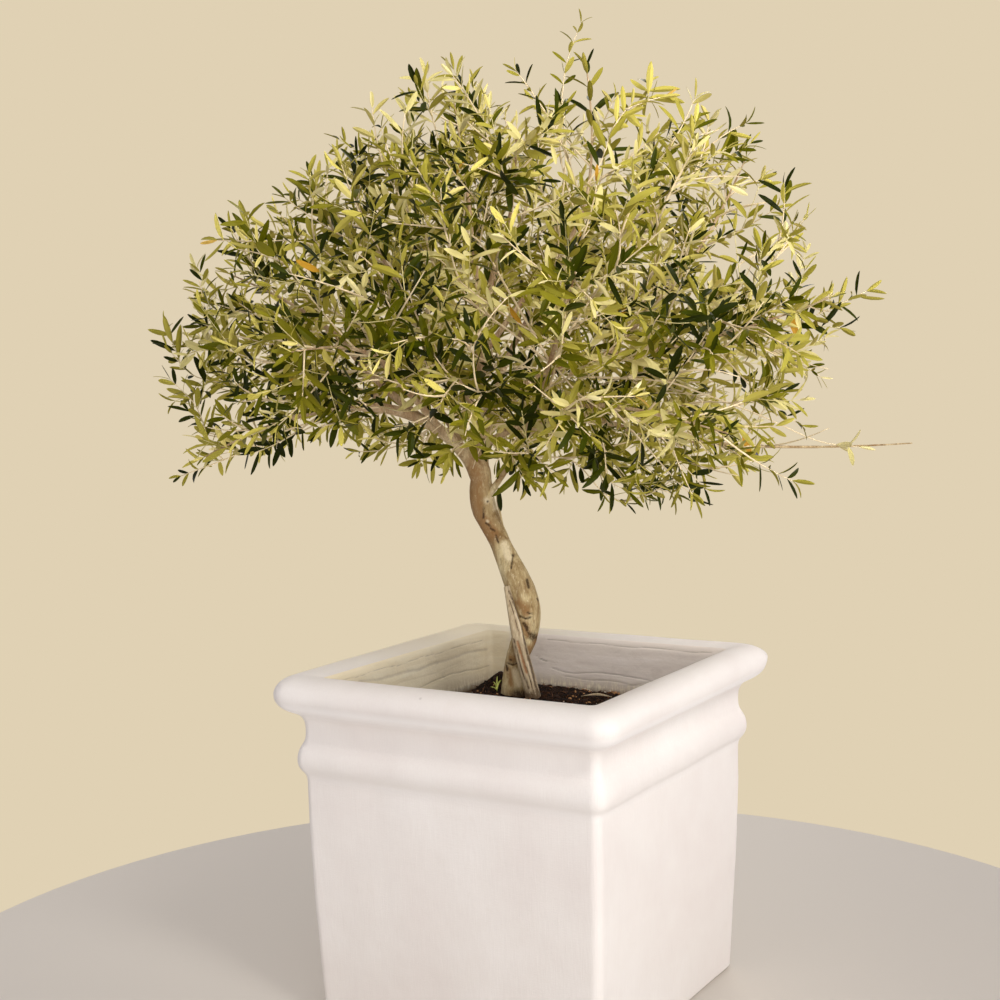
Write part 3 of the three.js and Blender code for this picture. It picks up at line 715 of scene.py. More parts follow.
def make_pot():
    outside, inside = pot_sections()
    rows, creases = [], []
    for number, (half, height) in enumerate(outside + inside):
        lip_row = number - len(outside) + LIP_ROWS
        is_inside = lip_row >= LIP_ROWS
        corner = INNER_CORNER if is_inside else BODY_CORNER + max(0, half - NECK_HALF) * CORNER_GROWTH
        ring, outward = rounded_square(half, corner)
        x, y = ring.T
        place = np.column_stack([x, y, np.full(len(ring), float(height))])
        rise = waves(place, *SKIN_WAVES)
        crease = np.zeros(len(ring))
        if is_inside:
            crease = crease_depth(x, y, height + waves(place, *CREASE_WAVES))
            rise += crease + waves(place, INNER_WAVE)
        else:
            rise += corner_fullness(x, y, height)
        if lip_row < 0:
            rise += waves(place * (1, 1, 0.2), UPRIGHT_WAVE)
            if height > BODY_TOP:
                place[:, 2] += waves(place, MOULDING_WAVE)
        if height > 0:
            place[:, :2] += outward * rise[:, None]
        place[:, 2] = np.maximum(place[:, 2], 0)
        place[:, 0] += np.clip((lip_row + 1) / LIP_ROWS, 0, 1) * lip_shift(place[:, 0], place[:, 1])
        rows.append(place)
        creases.append(crease)
    around = len(rows[0])
    points = np.concatenate(rows + [np.array([[0, 0, 0], [0, 0, INNER_BOTTOM]])])
    outer_quads, inner_quads = np.split(ring_quads(len(rows), around), [(len(outside) - 1) * around])
    shape = Shape()
    shape.add(points, outer_quads, inner_quads, end_fans(len(rows), around), materials=(0, 1))
    finishes = [whitewash(), inner_plaster()]
    piece = make_piece("pot_render", shape, finishes, ["pot"], in_tree=False)
    add_tone(piece, "crease", np.concatenate(creases + [np.zeros(2)]))


# Painted light that lifts the shade under the rim and a little under the bead: [height, share]
PAINTED_LIGHT_BANDS = [(543, 1.0), (431, 0.3)]


def whitewash():
    """Brushed lime paint: fine upright strokes on the body, faint stains, and a soft uneven skin, with
    painted light under the rim and the bead and a painted warm reflection on the back and left of the rim's
    top.
    """
    finish = Finish("pot_render_outside", 0.72, 0.2)
    strokes = finish.noise((420, 420, 26), 4.0, 0.6, 0.2)
    cross = finish.noise((90, 90, 520), 3.0, 0.6)
    stains = finish.noise(16.0, 5.0, 0.7)
    paints = [(0.3, (236, 228, 222)), (0.55, (241, 235, 229)), (0.75, (245, 240, 235))]
    colour = finish.ramp(finish.noise(5.0), *paints)
    colour = finish.over(colour, (229, 219, 206), stains, 0.62, 0.8, 0.3)
    colour = finish.over(colour, (228, 218, 212), strokes, 0.35, 0.7, 0.2)
    # Painted light: whiter bands where the rim and the bead throw shade
    for middle, white in PAINTED_LIGHT_BANDS:
        away = finish.number("ABSOLUTE", finish.number("SUBTRACT", finish.axis("Z"), middle * MM))
        colour = finish.blend(finish.span(away, 0.017, 0.006, white), colour, (255, 251, 248))
    # Painted warm reflected light on the back and left of the rim's top
    far = finish.number("SUBTRACT", finish.times(finish.axis("Y"), 0.6), finish.axis("X"))
    painted_warm_reflection = finish.times(finish.span(far, 0.12, 0.42), finish.span(finish.axis("Z"), 0.57, 0.595))
    colour = finish.blend(painted_warm_reflection, colour, (246, 234, 206))
    colour = finish.blend(finish.spot((-183, -276, 374), 3.2), colour, (150, 132, 116))
    colour = finish.blend(finish.spot((-16, -319, 592), 4.0), colour, (214, 205, 199))
    grain = finish.noise(700.0, 2.0)
    return finish.done(colour, (strokes, 0.0011, 0.5), (cross, 0.0006, 0.28), (grain, 0.0003, 0.3))


def inner_plaster():
    """Weathered plaster: grey, beige on the left wall as painted warm bounce light, painted shade in its
    creases, crusted at the soil.
    """
    finish = Finish("pot_render_inside", 0.85, 0.2)
    wash = finish.noise((7, 7, 60), 4.0, 0.6, 0.4)
    smudge = finish.noise((16, 16, 34), 5.0, 0.7, 0.8)
    streaks = finish.noise((150, 150, 38), 5.0, 0.7)
    height = finish.axis("Z")
    grey = finish.ramp(wash, (0.3, (230, 218, 208)), (0.5, (239, 228, 218)), (0.72, (246, 236, 228)))
    # The left wall's beige is painted warm bounce light; the other walls stay grey
    beige = finish.ramp(wash, (0.3, (236, 222, 190)), (0.5, (245, 232, 202)), (0.72, (250, 240, 214)))
    colour = finish.blend(finish.span(finish.axis("X"), -0.15, -0.2), grey, beige)
    colour = finish.over(colour, (190, 176, 160), smudge, 0.56, 0.8, 0.35)
    low = finish.span(height, 0.522, 0.497)
    colour = finish.blend(finish.times(low, 0.6), colour, (184, 166, 138))
    crust = finish.times(low, finish.ramp(streaks, (0.46, 0.0), (0.58, 1.0)))
    colour = finish.blend(crust, colour, (248, 238, 212))
    colour = finish.blend(finish.span(height, 0.502, 0.488), colour, (96, 76, 58))
    # Painted shade in the creases, more where they are pressed deeper, broken by the smudges
    broken = finish.ramp(smudge, (0.36, 0.55), (0.6, 1.0))
    dark = finish.times(finish.ramp(finish.attribute("crease"), (0.3, 0.0), (1.0, 0.42)), broken)
    colour = finish.blend(dark, colour, (136, 120, 100))
    return finish.done(colour, (wash, 0.002, 0.4), (finish.noise(180.0, 4.0), 0.0008, 0.6))


# Soil

SOIL_CELLS = 200
SOIL_LEFT_DROP = 18
SOIL_STEEPNESS = 2.2
SOIL_WAVES = [(4.0, 34, 0.0), (2.6, 14, 3.3), (1.7, 6, 8.8)]


def tree_to_pot(side, depth):
    c, s = math.cos(TREE_TURN), math.sin(TREE_TURN)
    return side * c - depth * s, side * s + depth * c


def soil_height(x, y):
    """The soil's surface over points of the pot's plan."""
    seat_x, seat_y = tree_to_pot(*SEAT)
    hump_x, hump_y = tree_to_pot(HUMP["side"], HUMP["depth"])
    dx, dy = x - seat_x, y - seat_y
    away = np.maximum(np.hypot(dx, dy), 1e-6)
    half = inner_half(SOIL_EDGE)
    reach_x = np.where(dx > 0, half - seat_x, half + seat_x) / np.maximum(np.abs(dx), 1e-6)
    reach_y = np.where(dy > 0, half - seat_y, half + seat_y) / np.maximum(np.abs(dy), 1e-6)
    wall = np.minimum(reach_x, reach_y) * away
    share = np.clip((wall - away) / np.maximum(wall - SEAT_RADIUS, 1e-6), 0, 1)
    edge = SOIL_EDGE - SOIL_LEFT_DROP * np.clip((-x - 40) / 160, 0, 1)
    height = edge + (SOIL_SEAT - edge) * np.sin(share * math.pi / 2) ** SOIL_STEEPNESS
    far = np.hypot(x - hump_x, y - hump_y) / HUMP["spread"]
    height = height + HUMP["rise"] * np.exp(-0.5 * far * far)
    return height + waves(np.stack([x, y, np.zeros_like(x)], axis=1), *SOIL_WAVES)


def make_soil():
    half = inner_half(SOIL_EDGE) + 1.2
    line = np.linspace(-half, half, SOIL_CELLS + 1)
    x, y = (grid.ravel() for grid in np.meshgrid(line, line, indexing="ij"))
    top = np.stack([x + lip_shift(x, y), y, soil_height(x, y)], axis=1)
    grid = np.arange(len(top)).reshape(SOIL_CELLS + 1, SOIL_CELLS + 1)
    quads = grid_quads(grid[:-1, :-1], grid[1:, :-1], grid[1:, 1:], grid[:-1, 1:])
    rim = np.concatenate([grid[0], grid[1:, -1], grid[-1, -2::-1], grid[-2:0:-1, 0]])
    floor = top[rim] * (1, 1, 0) + (0, 0, INNER_BOTTOM + 1)
    low = len(top) + np.arange(len(rim))
    skirt = np.stack([rim, np.roll(rim, -1), np.roll(low, -1), low], axis=1)
    shape = Shape()
    shape.add(np.concatenate([top, floor]), quads, skirt, low[None, ::-1])
    make_piece("soil_bed", shape, [earth()], ["soil"], in_tree=False)


def earth():
    """Damp potting soil, nearly black, with reddish and straw coloured bits."""
    finish = Finish("soil_earth", 0.95, 0.08)
    clods = finish.noise(60.0, 6.0, 0.7)
    bits = finish.noise(420.0, 3.0, 0.7)
    colour = finish.ramp(clods, (0.3, (6, 2, 0)), (0.52, (16, 7, 2)), (0.74, (66, 40, 22)))
    colour = finish.over(colour, (150, 98, 56), bits, 0.6, 0.67, 0.85)
    return finish.done(colour, (clods, 0.004, 0.8), (bits, 0.0015, 0.8))


# The twelve corners and twenty faces of a small lump
GOLDEN = (1 + math.sqrt(5)) / 2
LUMP_CORNERS = np.array([
    (-1, GOLDEN, 0), (1, GOLDEN, 0), (-1, -GOLDEN, 0), (1, -GOLDEN, 0),
    (0, -1, GOLDEN), (0, 1, GOLDEN), (0, -1, -GOLDEN), (0, 1, -GOLDEN),
    (GOLDEN, 0, -1), (GOLDEN, 0, 1), (-GOLDEN, 0, -1), (-GOLDEN, 0, 1),
]) / math.hypot(1, GOLDEN)
LUMP_FACES = np.array([
    (0, 11, 5), (0, 5, 1), (0, 1, 7), (0, 7, 10), (0, 10, 11), (1, 5, 9), (5, 11, 4),
    (11, 10, 2), (10, 7, 6), (7, 1, 8), (3, 9, 4), (3, 4, 2), (3, 2, 6), (3, 6, 8),
    (3, 8, 9), (4, 9, 5), (2, 4, 11), (6, 2, 10), (8, 6, 7), (9, 8, 1),
])

# The stems' feet in the tree's frame, and the room that the bits on the soil leave them
STEM_FEET = (-15, -15)
STEM_ROOM = 34

# The bits that lie on the soil: their colour and roughness
BITS = {
    "crumbs": ((52, 32, 20), 0.9),
    "bright_crumbs": ((200, 146, 94), 0.85),
    "specks": ((222, 212, 194), 0.8),
    "fibres": ((128, 84, 52), 0.8),
}

# How the lumps lie: the kind, the count, the sizes, the margin to the walls, whether they gather there,
# and how far they may stick up it
LUMPS = [
    ("crumbs", 460, (1.6, 5.2), 7, False, 0),
    ("crumbs", 160, (1.4, 4.0), 4, True, 0),
    ("bright_crumbs", 240, (1.0, 3.0), 5, False, 0),
    ("bright_crumbs", 300, (1.3, 3.4), 2, True, 4),
    ("specks", 360, (1.1, 2.8), 1.6, True, 6),
    ("specks", 60, (0.7, 1.5), 8, False, 0),
]
FIBRES = 150
FIBRE_LENGTHS = (8, 22)

# A chip of bark and a sprout on the soil, in the tree's frame: the blades' reach and thickness
CHIP = [(91, -40, 541), (118, -52, 546), (143, -60, 543)]
SPROUT = np.array([-55.0, -30.0, 551.0])
SPROUT_BLADES = [((-6, 4, 16), 1.5), ((8, -3, 20), 1.7), ((1, 6, 25), 1.6), ((-11, -5, 9), 1.2)]


def soil_spot(margin):
    """A chance place on the soil that isn't under the stems."""
    half = inner_half(SOIL_EDGE) - margin
    feet_x, feet_y = tree_to_pot(*STEM_FEET)
    while True:
        x, y = chance.uniform(-half, half), chance.uniform(-half, half)
        if math.hypot(x - feet_x, y - feet_y) > STEM_ROOM:
            return x, y


def on_soil(x, y, lift):
    height = float(soil_height(np.array([x]), np.array([y]))[0])
    return np.array([x + lip_shift(x, y), y, height + lift])


def scatter_lumps(shape, count, sizes, margin, near_wall, climb):
    for _ in range(count):
        x, y = soil_spot(margin)
        if near_wall:
            push = (inner_half(SOIL_EDGE) - margin - chance.expovariate(0.15)) / max(abs(x), abs(y))
            x, y = x * push, y * push
        size = chance.uniform(*sizes)
        stretch = np.array([chance.uniform(0.7, 1.3), chance.uniform(0.7, 1.3), chance.uniform(0.5, 0.9)])
        uneven = np.array([[chance.uniform(0.75, 1.2)] for _ in LUMP_CORNERS])
        place = on_soil(x, y, size * 0.2 + chance.uniform(0, climb))
        shape.add(LUMP_CORNERS * uneven * stretch * size + place, LUMP_FACES)


def lay_fibres(shape):
    for _ in range(FIBRES):
        x, y = soil_spot(14)
        turn = chance.uniform(0, 2 * math.pi)
        length = chance.uniform(*FIBRE_LENGTHS)
        heading = np.array([math.cos(turn), math.sin(turn), chance.uniform(-0.1, 0.4)])
        start = on_soil(x, y, 0.5)
        control = start + heading * length * 0.5 + (0, 0, chance.uniform(1, 4))
        end = start + heading * length + (chance.uniform(-4, 4), chance.uniform(-4, 4), 0)
        tube(shape, Bend(start, control, end).path(4), np.linspace(0.5, 0.25, 5), 4)


def make_soil_bits():
    shapes = {kind: Shape() for kind in BITS}
    for kind, *rest in LUMPS:
        scatter_lumps(shapes[kind], *rest)
    lay_fibres(shapes["fibres"])
    for kind, (colour, rough) in BITS.items():
        finish = Finish(f"soil_{kind}", rough, 0.25)
        light = finish.ramp(finish.noise(500.0), (0.35, 0.55), (0.6, 1.0))
        material = finish.done(finish.blend(light, (0, 0, 0), colour))
        make_piece(f"soil_{kind}", shapes[kind], [material], ["soil"], in_tree=False, smooth=False)


def chip_relief(points, outward):
    return waves(points, (0.5, 5, 0.0)) - 2.2 * np.abs(outward[:, 2])


def make_chip_and_sprout():
    chip, sprout = Shape(), Shape()
    tube(chip, Spline(CHIP).path(14), 4.2 * np.sin(np.linspace(0.25, 2.9, 15)), 9, chip_relief)
    make_piece("bark_chip", chip, [dry_finish()], ["soil"])
    for reach, radius in SPROUT_BLADES:
        bend = Bend(SPROUT, SPROUT + (0, 0, reach[2] * 0.7), SPROUT + reach)
        tube(sprout, bend.path(6), radius * np.sin(np.linspace(0.5, 2.9, 7)), 6)
    green = mottled("sprout_green", 0.6, 220.0, (0.35, (120, 130, 40)), (0.6, (196, 200, 104)))
    make_piece("sprout", sprout, [green], ["soil"])


# Limbs, by the solids' own measures

def grow_limbs():
    """The path and radii of each limb as the solids have them, and the smooth curve of each bough."""
    limbs = {}
    stems = (("trunk", TRUNK, TRUNK_RINGS), ("second_stem", SECOND_STEM, SECOND_STEM_RINGS))
    for name, rows, rings in stems:
        places = np.linspace(0, len(rows) - 1, rings + 1)
        radii = np.interp(places, np.arange(len(rows)), [row[3] for row in rows])
        limbs[name] = {"path": Spline(rows).path(rings)[:, :3], "radii": radii}
    for name, parent, at, middle, tip, thick in BOUGHS:
        path = limbs[parent]["path"]
        place = at * (len(path) - 1)
        row = min(int(place), len(path) - 2)
        start = mix(path[row], path[row + 1], place - row)
        middle, tip = np.array(middle, float), np.array(tip, float)
        bend = Bend(start, 2 * middle - 0.5 * start - 0.5 * tip, tip)
        radii = np.linspace(*thick, BOUGH_RINGS + 1)
        limbs[name] = {"path": bend.path(BOUGH_RINGS), "bend": bend, "radii": radii}
    return limbs


limbs = grow_limbs()

# The straight stretches that the limbs are tested by, and the room that each takes
stretch_start = np.concatenate([limb["path"][:-1] for limb in limbs.values()])
stretch_end = np.concatenate([limb["path"][1:] for limb in limbs.values()])
stretch_room = np.concatenate([np.maximum(limb["radii"][:-1], limb["radii"][1:]) for limb in limbs.values()])


def touches_limb(start, end, half_width):
    """Whether a straight stretch comes too near to any limb."""
    u = end - start
    v = stretch_end - stretch_start
    w = start - stretch_start
    uu = u @ u
    uv = v @ u
    vv = (v * v).sum(1)
    uw = w @ u
    vw = (v * w).sum(1)
    bottom = uu * vv - uv * uv
    safe = np.where(bottom > 1e-9, bottom, 1)
    s = np.where(bottom > 1e-9, np.clip((uv * vw - vv * uw) / safe, 0, 1), 0)
    t = np.clip((uv * s + vw) / vv, 0, 1)
    s = np.clip((uv * t - uw) / uu, 0, 1)
    gap = np.linalg.norm(w + s[:, None] * u - t[:, None] * v, axis=1)
    return bool((gap < stretch_room + half_width + LIMB_MARGIN).any())


CENTRES = np.array([mass["centre"] for mass in MASSES], float)


def inside_space(number, point):
    """Whether a point is nearer to its own mass's centre than to any other."""
    own = CENTRES[number]
    others = np.delete(CENTRES, number, axis=0)
    lead = ((point - others) ** 2).sum(1) - ((point - own) ** 2).sum()
    return bool((lead / (2 * np.linalg.norm(others - own, axis=1)) >= CELL_MARGIN).all())


def inside_crown(mass, point, extra):
    side = point[0] / (CROWN["side"] + extra)
    deep = (point[1] - CROWN["depth"]) / (CROWN["deep"] + extra)
    high = max(0, point[2] - CROWN["base"]) / (CROWN["high"] + extra)
    floor = mass.get("lowest", CROWN["lowest"]) - extra
    return side * side + deep * deep + high * high < 1 and point[2] > floor


def draw(*keys):
    """The solids' repeatable number from 0 to 1 for each set of whole numbers."""
    whole = 0xFFFFFFFF
    state = CROWN_SEED
    for key in keys:
        state = ((state ^ ((key + 0x9E3779B9) & whole)) * 0x85EBCA6B) & whole
        state ^= state >> 13
    state = (state * 0xC2B2AE35) & whole
    state ^= state >> 16
    return state / 4294967296


def vary(*keys):
    return 1 + VARIATION * (draw(*keys) - 0.5)


def lean_out(along, turn, angle):
    """A direction leaned out from along by an angle, at a turn round it."""
    across = rotated(square_to(along), along, turn)
    return along * math.cos(angle) + across * math.sin(angle)


# Growth: stems, twigs, shoots and leaves

class Crown:
    """Everything that grows: tubes of wood, and the leaves of each colour."""

    def __init__(self):
        self.twigs, self.shoots = Shape(), Shape()
        self.leaves = [[] for _ in LEAF_COLOURS]
        self.wood, self.ways, self.leafy = [], [], []

    def add_wood(self, bend, first=0.0):
        """Places on a limb or twig that others may grow from."""
        steps = max(3, int(bend.length() / WOOD_SPACING))
        for step in range(steps + 1):
            share = mix(first, 0.96, step / steps)
            self.wood.append(bend.point(share))
            self.ways.append(bend.tangent(share))


# Top side and underside of the leaves, from the darkest to the lightest, and the odd old leaf
LEAF_COLOURS = [
    ("deep", (32, 38, 0), (154, 144, 54)),
    ("bottle", (50, 56, 0), (174, 162, 70)),
    ("green", (80, 80, 2), (194, 181, 84)),
    ("olive", (120, 114, 24), (210, 196, 102)),
    ("fresh", (162, 152, 62), (226, 211, 128)),
    ("sunlit", (206, 194, 128), (235, 222, 162)),
    ("ochre", (184, 138, 44), (196, 160, 78)),
]
OCHRE_SHARE = 0.0015
SHADES = len(LEAF_COLOURS) - 1
SHADE_SPREAD = 1.95

# The share of leaves that are a shade lighter or darker than their spray
ODD_SHARE = 0.45
shade_chance = random.Random(CROWN_SEED)


def pick_colour(point):
    """A spray's colour as painted light and shade: lightest halfway up on the right, darker inside, on the
    left, high and low.
    """
    # Painted light and shade: lighter to the right, darker inside the crown and away from its middle height
    inner = max(0, 0.75 - crown_share(point))
    lit = 2.65 + point[0] / 1000 - abs(point[2] - 1230) / 450 - 1.9 * inner
    return min(SHADES - 1, max(0, round(chance.gauss(lit, SHADE_SPREAD))))


# Where the front view looks from, in the tree's frame
EYE = np.array([-41.0, -2805.0, 1132.0])

# The room that leaves keep in front of the left bough and of the first of the shown twigs, and how many
BOUGH_CLEAR = 15
TWIG_CLEAR = 6
SHOWN_CLEAR = 7


def seen(point):
    """The place in the plane of the trunk that a point covers, seen from the front: side and height."""
    share = EYE[1] / (EYE[1] - point[1])
    place = EYE + (point - EYE) * share
    return place[[0, 2]]


class Shown:
    """Limbs that show whole from the front: places along them, how deep they lie, and the room they keep."""

    def __init__(self):
        self.places, self.depths, self.rooms = [], [], []

    def add(self, path, room):
        for point in path:
            self.places.append(seen(point))
            self.depths.append(point[1])
            self.rooms.append(room)

    def hidden_by(self, point):
        apart = np.linalg.norm(np.array(self.places) - seen(point), axis=1)
        return bool(((apart < self.rooms) & (point[1] < np.array(self.depths))).any())


# Twigs that show in the front view: the points, the radii at both ends, and how far along the leaves begin
SHOWN_TWIGS = [
    # Long pale twigs in front, from the front bough
    ([(43, -190, 1121), (27, -205, 1149), (-27, -235, 1244), (-65, -260, 1310), (-100, -275, 1327),
      (-155, -290, 1335), (-208, -300, 1342), (-286, -310, 1367)], (2.4, 0.7), 0.35),
    ([(-65, -260, 1310), (-48, -270, 1380), (-25, -275, 1426), (-17, -280, 1460)], (1.6, 0.7), 0.4),
    ([(38, -192, 1123), (-13, -215, 1165), (-67, -240, 1206), (-89, -255, 1230), (-120, -275, 1277),
      (-148, -290, 1290)], (2.2, 0.7), 0.45),
    ([(20, -192, 1112), (-54, -225, 1122), (-105, -250, 1156), (-152, -275, 1171)], (1.8, 0.7), 0.45),
    ([(48, -190, 1124), (111, -220, 1223), (169, -245, 1299), (207, -255, 1314), (216, -265, 1349)],
     (2.4, 0.7), 0.4),
    ([(53, -190, 1111), (91, -215, 1066), (143, -240, 1034), (186, -255, 1024)], (1.8, 0.7), 0.35),
    # From the right boughs
    ([(92, -10, 1094), (238, -10, 1084), (316, 10, 1059), (419, 30, 1018), (521, 50, 971), (597, 60, 958)],
     (2.4, 0.8), 0.9),
    ([(158, -60, 1169), (224, -55, 1130), (272, -50, 1117), (334, -45, 1133), (388, -40, 1150),
      (489, -35, 1184), (590, -30, 1229)], (2.2, 0.7), 0.45),
    ([(21, -40, 959), (83, -60, 952), (132, -80, 899), (170, -90, 881)], (1.7, 0.7), 0.4),
    # Low on the left
    ([(-311, -60, 1039), (-408, -80, 1013), (-489, -95, 975), (-576, -105, 944)], (2.2, 0.8), 0.86),
    ([(-505, -98, 968), (-525, -110, 1000), (-545, -112, 1060), (-585, -115, 1105)], (1.3, 0.6), 0.15),
    ([(-440, -88, 1000), (-490, -60, 1085), (-560, -55, 1112), (-600, -60, 1160)], (1.5, 0.6), 0.25),
    ([(-493, -60, 1088), (-520, -52, 1150), (-535, -46, 1220), (-548, -40, 1290)], (1.3, 0.6), 0.2),
    ([(-155, -18, 1014), (-195, 25, 990), (-245, 50, 972), (-300, 70, 968)], (1.8, 0.7), 0.2),
    # Low on the right
    ([(334, -45, 1133), (380, -60, 1080), (425, -70, 1035), (470, -75, 1005)], (1.6, 0.7), 0.25),
    ([(83, -190, 1075), (115, -205, 1000), (160, -215, 935), (190, -220, 900)], (1.7, 0.7), 0.3),
    ([(135, -250, 1050), (190, -268, 985), (232, -276, 935), (262, -280, 905)], (1.8, 0.7), 0.15),
    ([(108, -212, 1045), (125, -235, 985), (130, -250, 935), (160, -258, 915)], (1.6, 0.7), 0.2),
    ([(135, -250, 1050), (205, -238, 1010), (250, -228, 955), (285, -222, 915)], (1.6, 0.7), 0.2),
    # The thin top
    ([(60, 0, 1290), (82, -5, 1460), (78, -8, 1560), (88, -10, 1630), (112, -12, 1690)], (2.2, 0.6), 0.5),
]

shown = Shown()
shown.add(limbs["left"]["bend"].path(24)[1:22], BOUGH_CLEAR)
for points, _, leaves_from in SHOWN_TWIGS[:SHOWN_CLEAR]:
    route = Route(points)
    shares = np.arange(0, min(0.75, leaves_from + 0.2), 4 / route.length())
    shown.add([route.point(share) for share in shares], TWIG_CLEAR)


def add_leaf(crown, origin, direction, facing, length, colour):
    """One leaf at origin that points along direction, its upper side turned towards facing."""
    if any(shown.hidden_by(origin + direction * length * share) for share in (0.45, 0.9)):
        return
    if colour < SHADES and shade_chance.random() < ODD_SHARE:
        colour = min(SHADES - 1, max(0, colour + shade_chance.choice((-1, 1))))
    if chance.random() < OCHRE_SHARE:
        colour = SHADES
    facing = facing - direction * np.dot(facing, direction)
    facing = rotated(unit(facing), direction, chance.gauss(0, LEAF_ROLL))
    crown.leaves[colour].append((
        *origin, *direction, *facing, length, length / chance.gauss(LEAF_SLIMNESS, 0.5),
        chance.gauss(-0.07, 0.09), chance.uniform(0.1, 0.5),
    ))


def add_pair(crown, point, along, turn, length, angle, colour):
    """Two leaves across from each other on a shoot, their upper sides towards its tip and the light."""
    across = square_to(along)
    away = unit(point - CROWN_HEART)
    for side in (0, math.pi):
        outward = rotated(across, along, turn + side)
        lean = angle * chance.uniform(0.75, 1.25)
        direction = unit(along * math.cos(lean) + outward * math.sin(lean))
        facing = along * math.sin(lean) - outward * math.cos(lean) + UP * 0.4 + away * 0.3
        add_leaf(crown, point, direction, facing, length * chance.uniform(0.85, 1.12), colour)


def add_pairs(crown, bend, first, last, length, colour):
    """Pairs of leaves along a curve, each turned a quarter from the last, and smaller ones at its tip."""
    count = max(1, round(bend.length() * (last - first) / LEAF_PAIR_PITCH))
    turn = chance.uniform(0, math.pi)
    for pair in range(count):
        share = mix(first, last, (pair + 0.5) / count)
        size = length * (1 - 0.22 * (pair / count) ** 2)
        point = bend.point(share)
        if chance.random() > PAIR_LOSS:
            add_pair(crown, point, bend.tangent(share), turn, size, PAIR_ANGLE, colour)
        crown.leafy.append(point)
        turn += math.pi / 2 + chance.gauss(0, 0.25)
    add_pair(crown, bend.point(1), bend.tangent(1), turn, length * TIP_SIZE, TIP_ANGLE, colour)
    crown.leafy.append(bend.point(1) + bend.tangent(1) * 20)


def grow_shoot(crown, origin, direction, length, colour):
    """A slender leafy side shoot that turns up a little."""
    end = origin + direction * length + UP * SHOOT_LIFT * length
    bend = Bend(origin, origin + direction * length * 0.5, end)
    tube(crown.shoots, bend.path(3), np.linspace(*SHOOT_RADII, 4), 4)
    add_pairs(crown, bend, 0.12, 0.96, chance.uniform(*LEAF_LENGTHS), colour)


def openness(point):
    """The share of shoots that are missing at a place: the crown's right side is thinner."""
    share = max(0, (point[0] - 330) / 360)
    for place, radius, missing in THIN_PLACES:
        share = max(share, missing * math.exp(-(np.linalg.norm(seen(point) - place) / radius) ** 2))
    return min(0.9, share)


def leaf_places(number, bend, thick, shares, keys, outside):
    """Where the solids' large leaves stand on a shoot: their roots and directions."""
    mass = MASSES[number]
    guide = unit(np.cross(bend.tangent(0), GUIDE))
    places = []
    for pair, share in enumerate(shares):
        along = bend.tangent(share)
        across = unit(guide - along * np.dot(guide, along))
        for side in (pair % 3, (pair + 1) % 3):
            outward = rotated(across, along, (side + 0.5) * THIRD_TURN)
            origin = bend.point(share) + outward * mix(*thick, share) / 2
            angle = LEAF_ANGLE * vary(*keys, pair, side, ANGLE_KEY)
            direction = unit(along * math.cos(angle) + outward * math.sin(angle))
            tip = origin + direction * LEAF_REACH
            kept = inside_space(number, tip) and inside_crown(mass, tip, outside)
            if kept and not touches_limb(origin, tip, LEAF_ROOM):
                places.append((origin, direction))
    return places


def pair_shares(bend, first, last):
    pairs = int(bend.length() * (last - first) / LEAF_PITCH)
    return [first + (pair + FIRST_PAIR) / pairs * (last - first) for pair in range(pairs)]


def fitting_twig(number, start, direction, length):
    """The longest twig that keeps to the mass's space and clear of the limbs, or None."""
    mass = MASSES[number]
    share = 1.0
    while share * length > TWIG_SHORTEST:
        reach = share * length
        end = start + direction * reach + UP * TWIG_LIFT * reach
        bend = Bend(start, start + direction * reach / 2, end)
        path = bend.path(TWIG_TESTS)
        leaf_tip = end + bend.tangent(1) * LEAF_REACH
        kept = all(inside_space(number, point) for point in [*path, leaf_tip])
        kept = kept and inside_crown(mass, leaf_tip, LEAF_OUTSIDE)
        if kept and not any(touches_limb(a, b, TWIG_ROOM) for a, b in zip(path[1:-1], path[2:])):
            return bend
        share -= TWIG_SHORTENING
    return None


def dress_twig(crown, bend, places):
    """Wood, side shoots and leaves along one twig."""
    steps = max(4, int(bend.length() / TWIG_STEP))
    tube(crown.twigs, bend.path(steps), np.linspace(*TWIG_RADII, steps + 1), 5)
    crown.add_wood(bend, 0.2)
    colour = pick_colour(bend.point(0.6))
    for origin, direction in places:
        wanted = chance.random() < SHOOT_SHARE and chance.random() > openness(origin)
        if wanted and inside_outline(origin, direction):
            shade = colour if chance.random() < 0.4 else pick_colour(origin)
            grow_shoot(crown, origin, direction, chance.uniform(*SHOOT_LENGTHS), shade)
    if chance.random() > openness(bend.point(0.6)) * 0.7:
        add_pairs(crown, bend, 0.3, 0.99, chance.uniform(*LEAF_LENGTHS), colour)


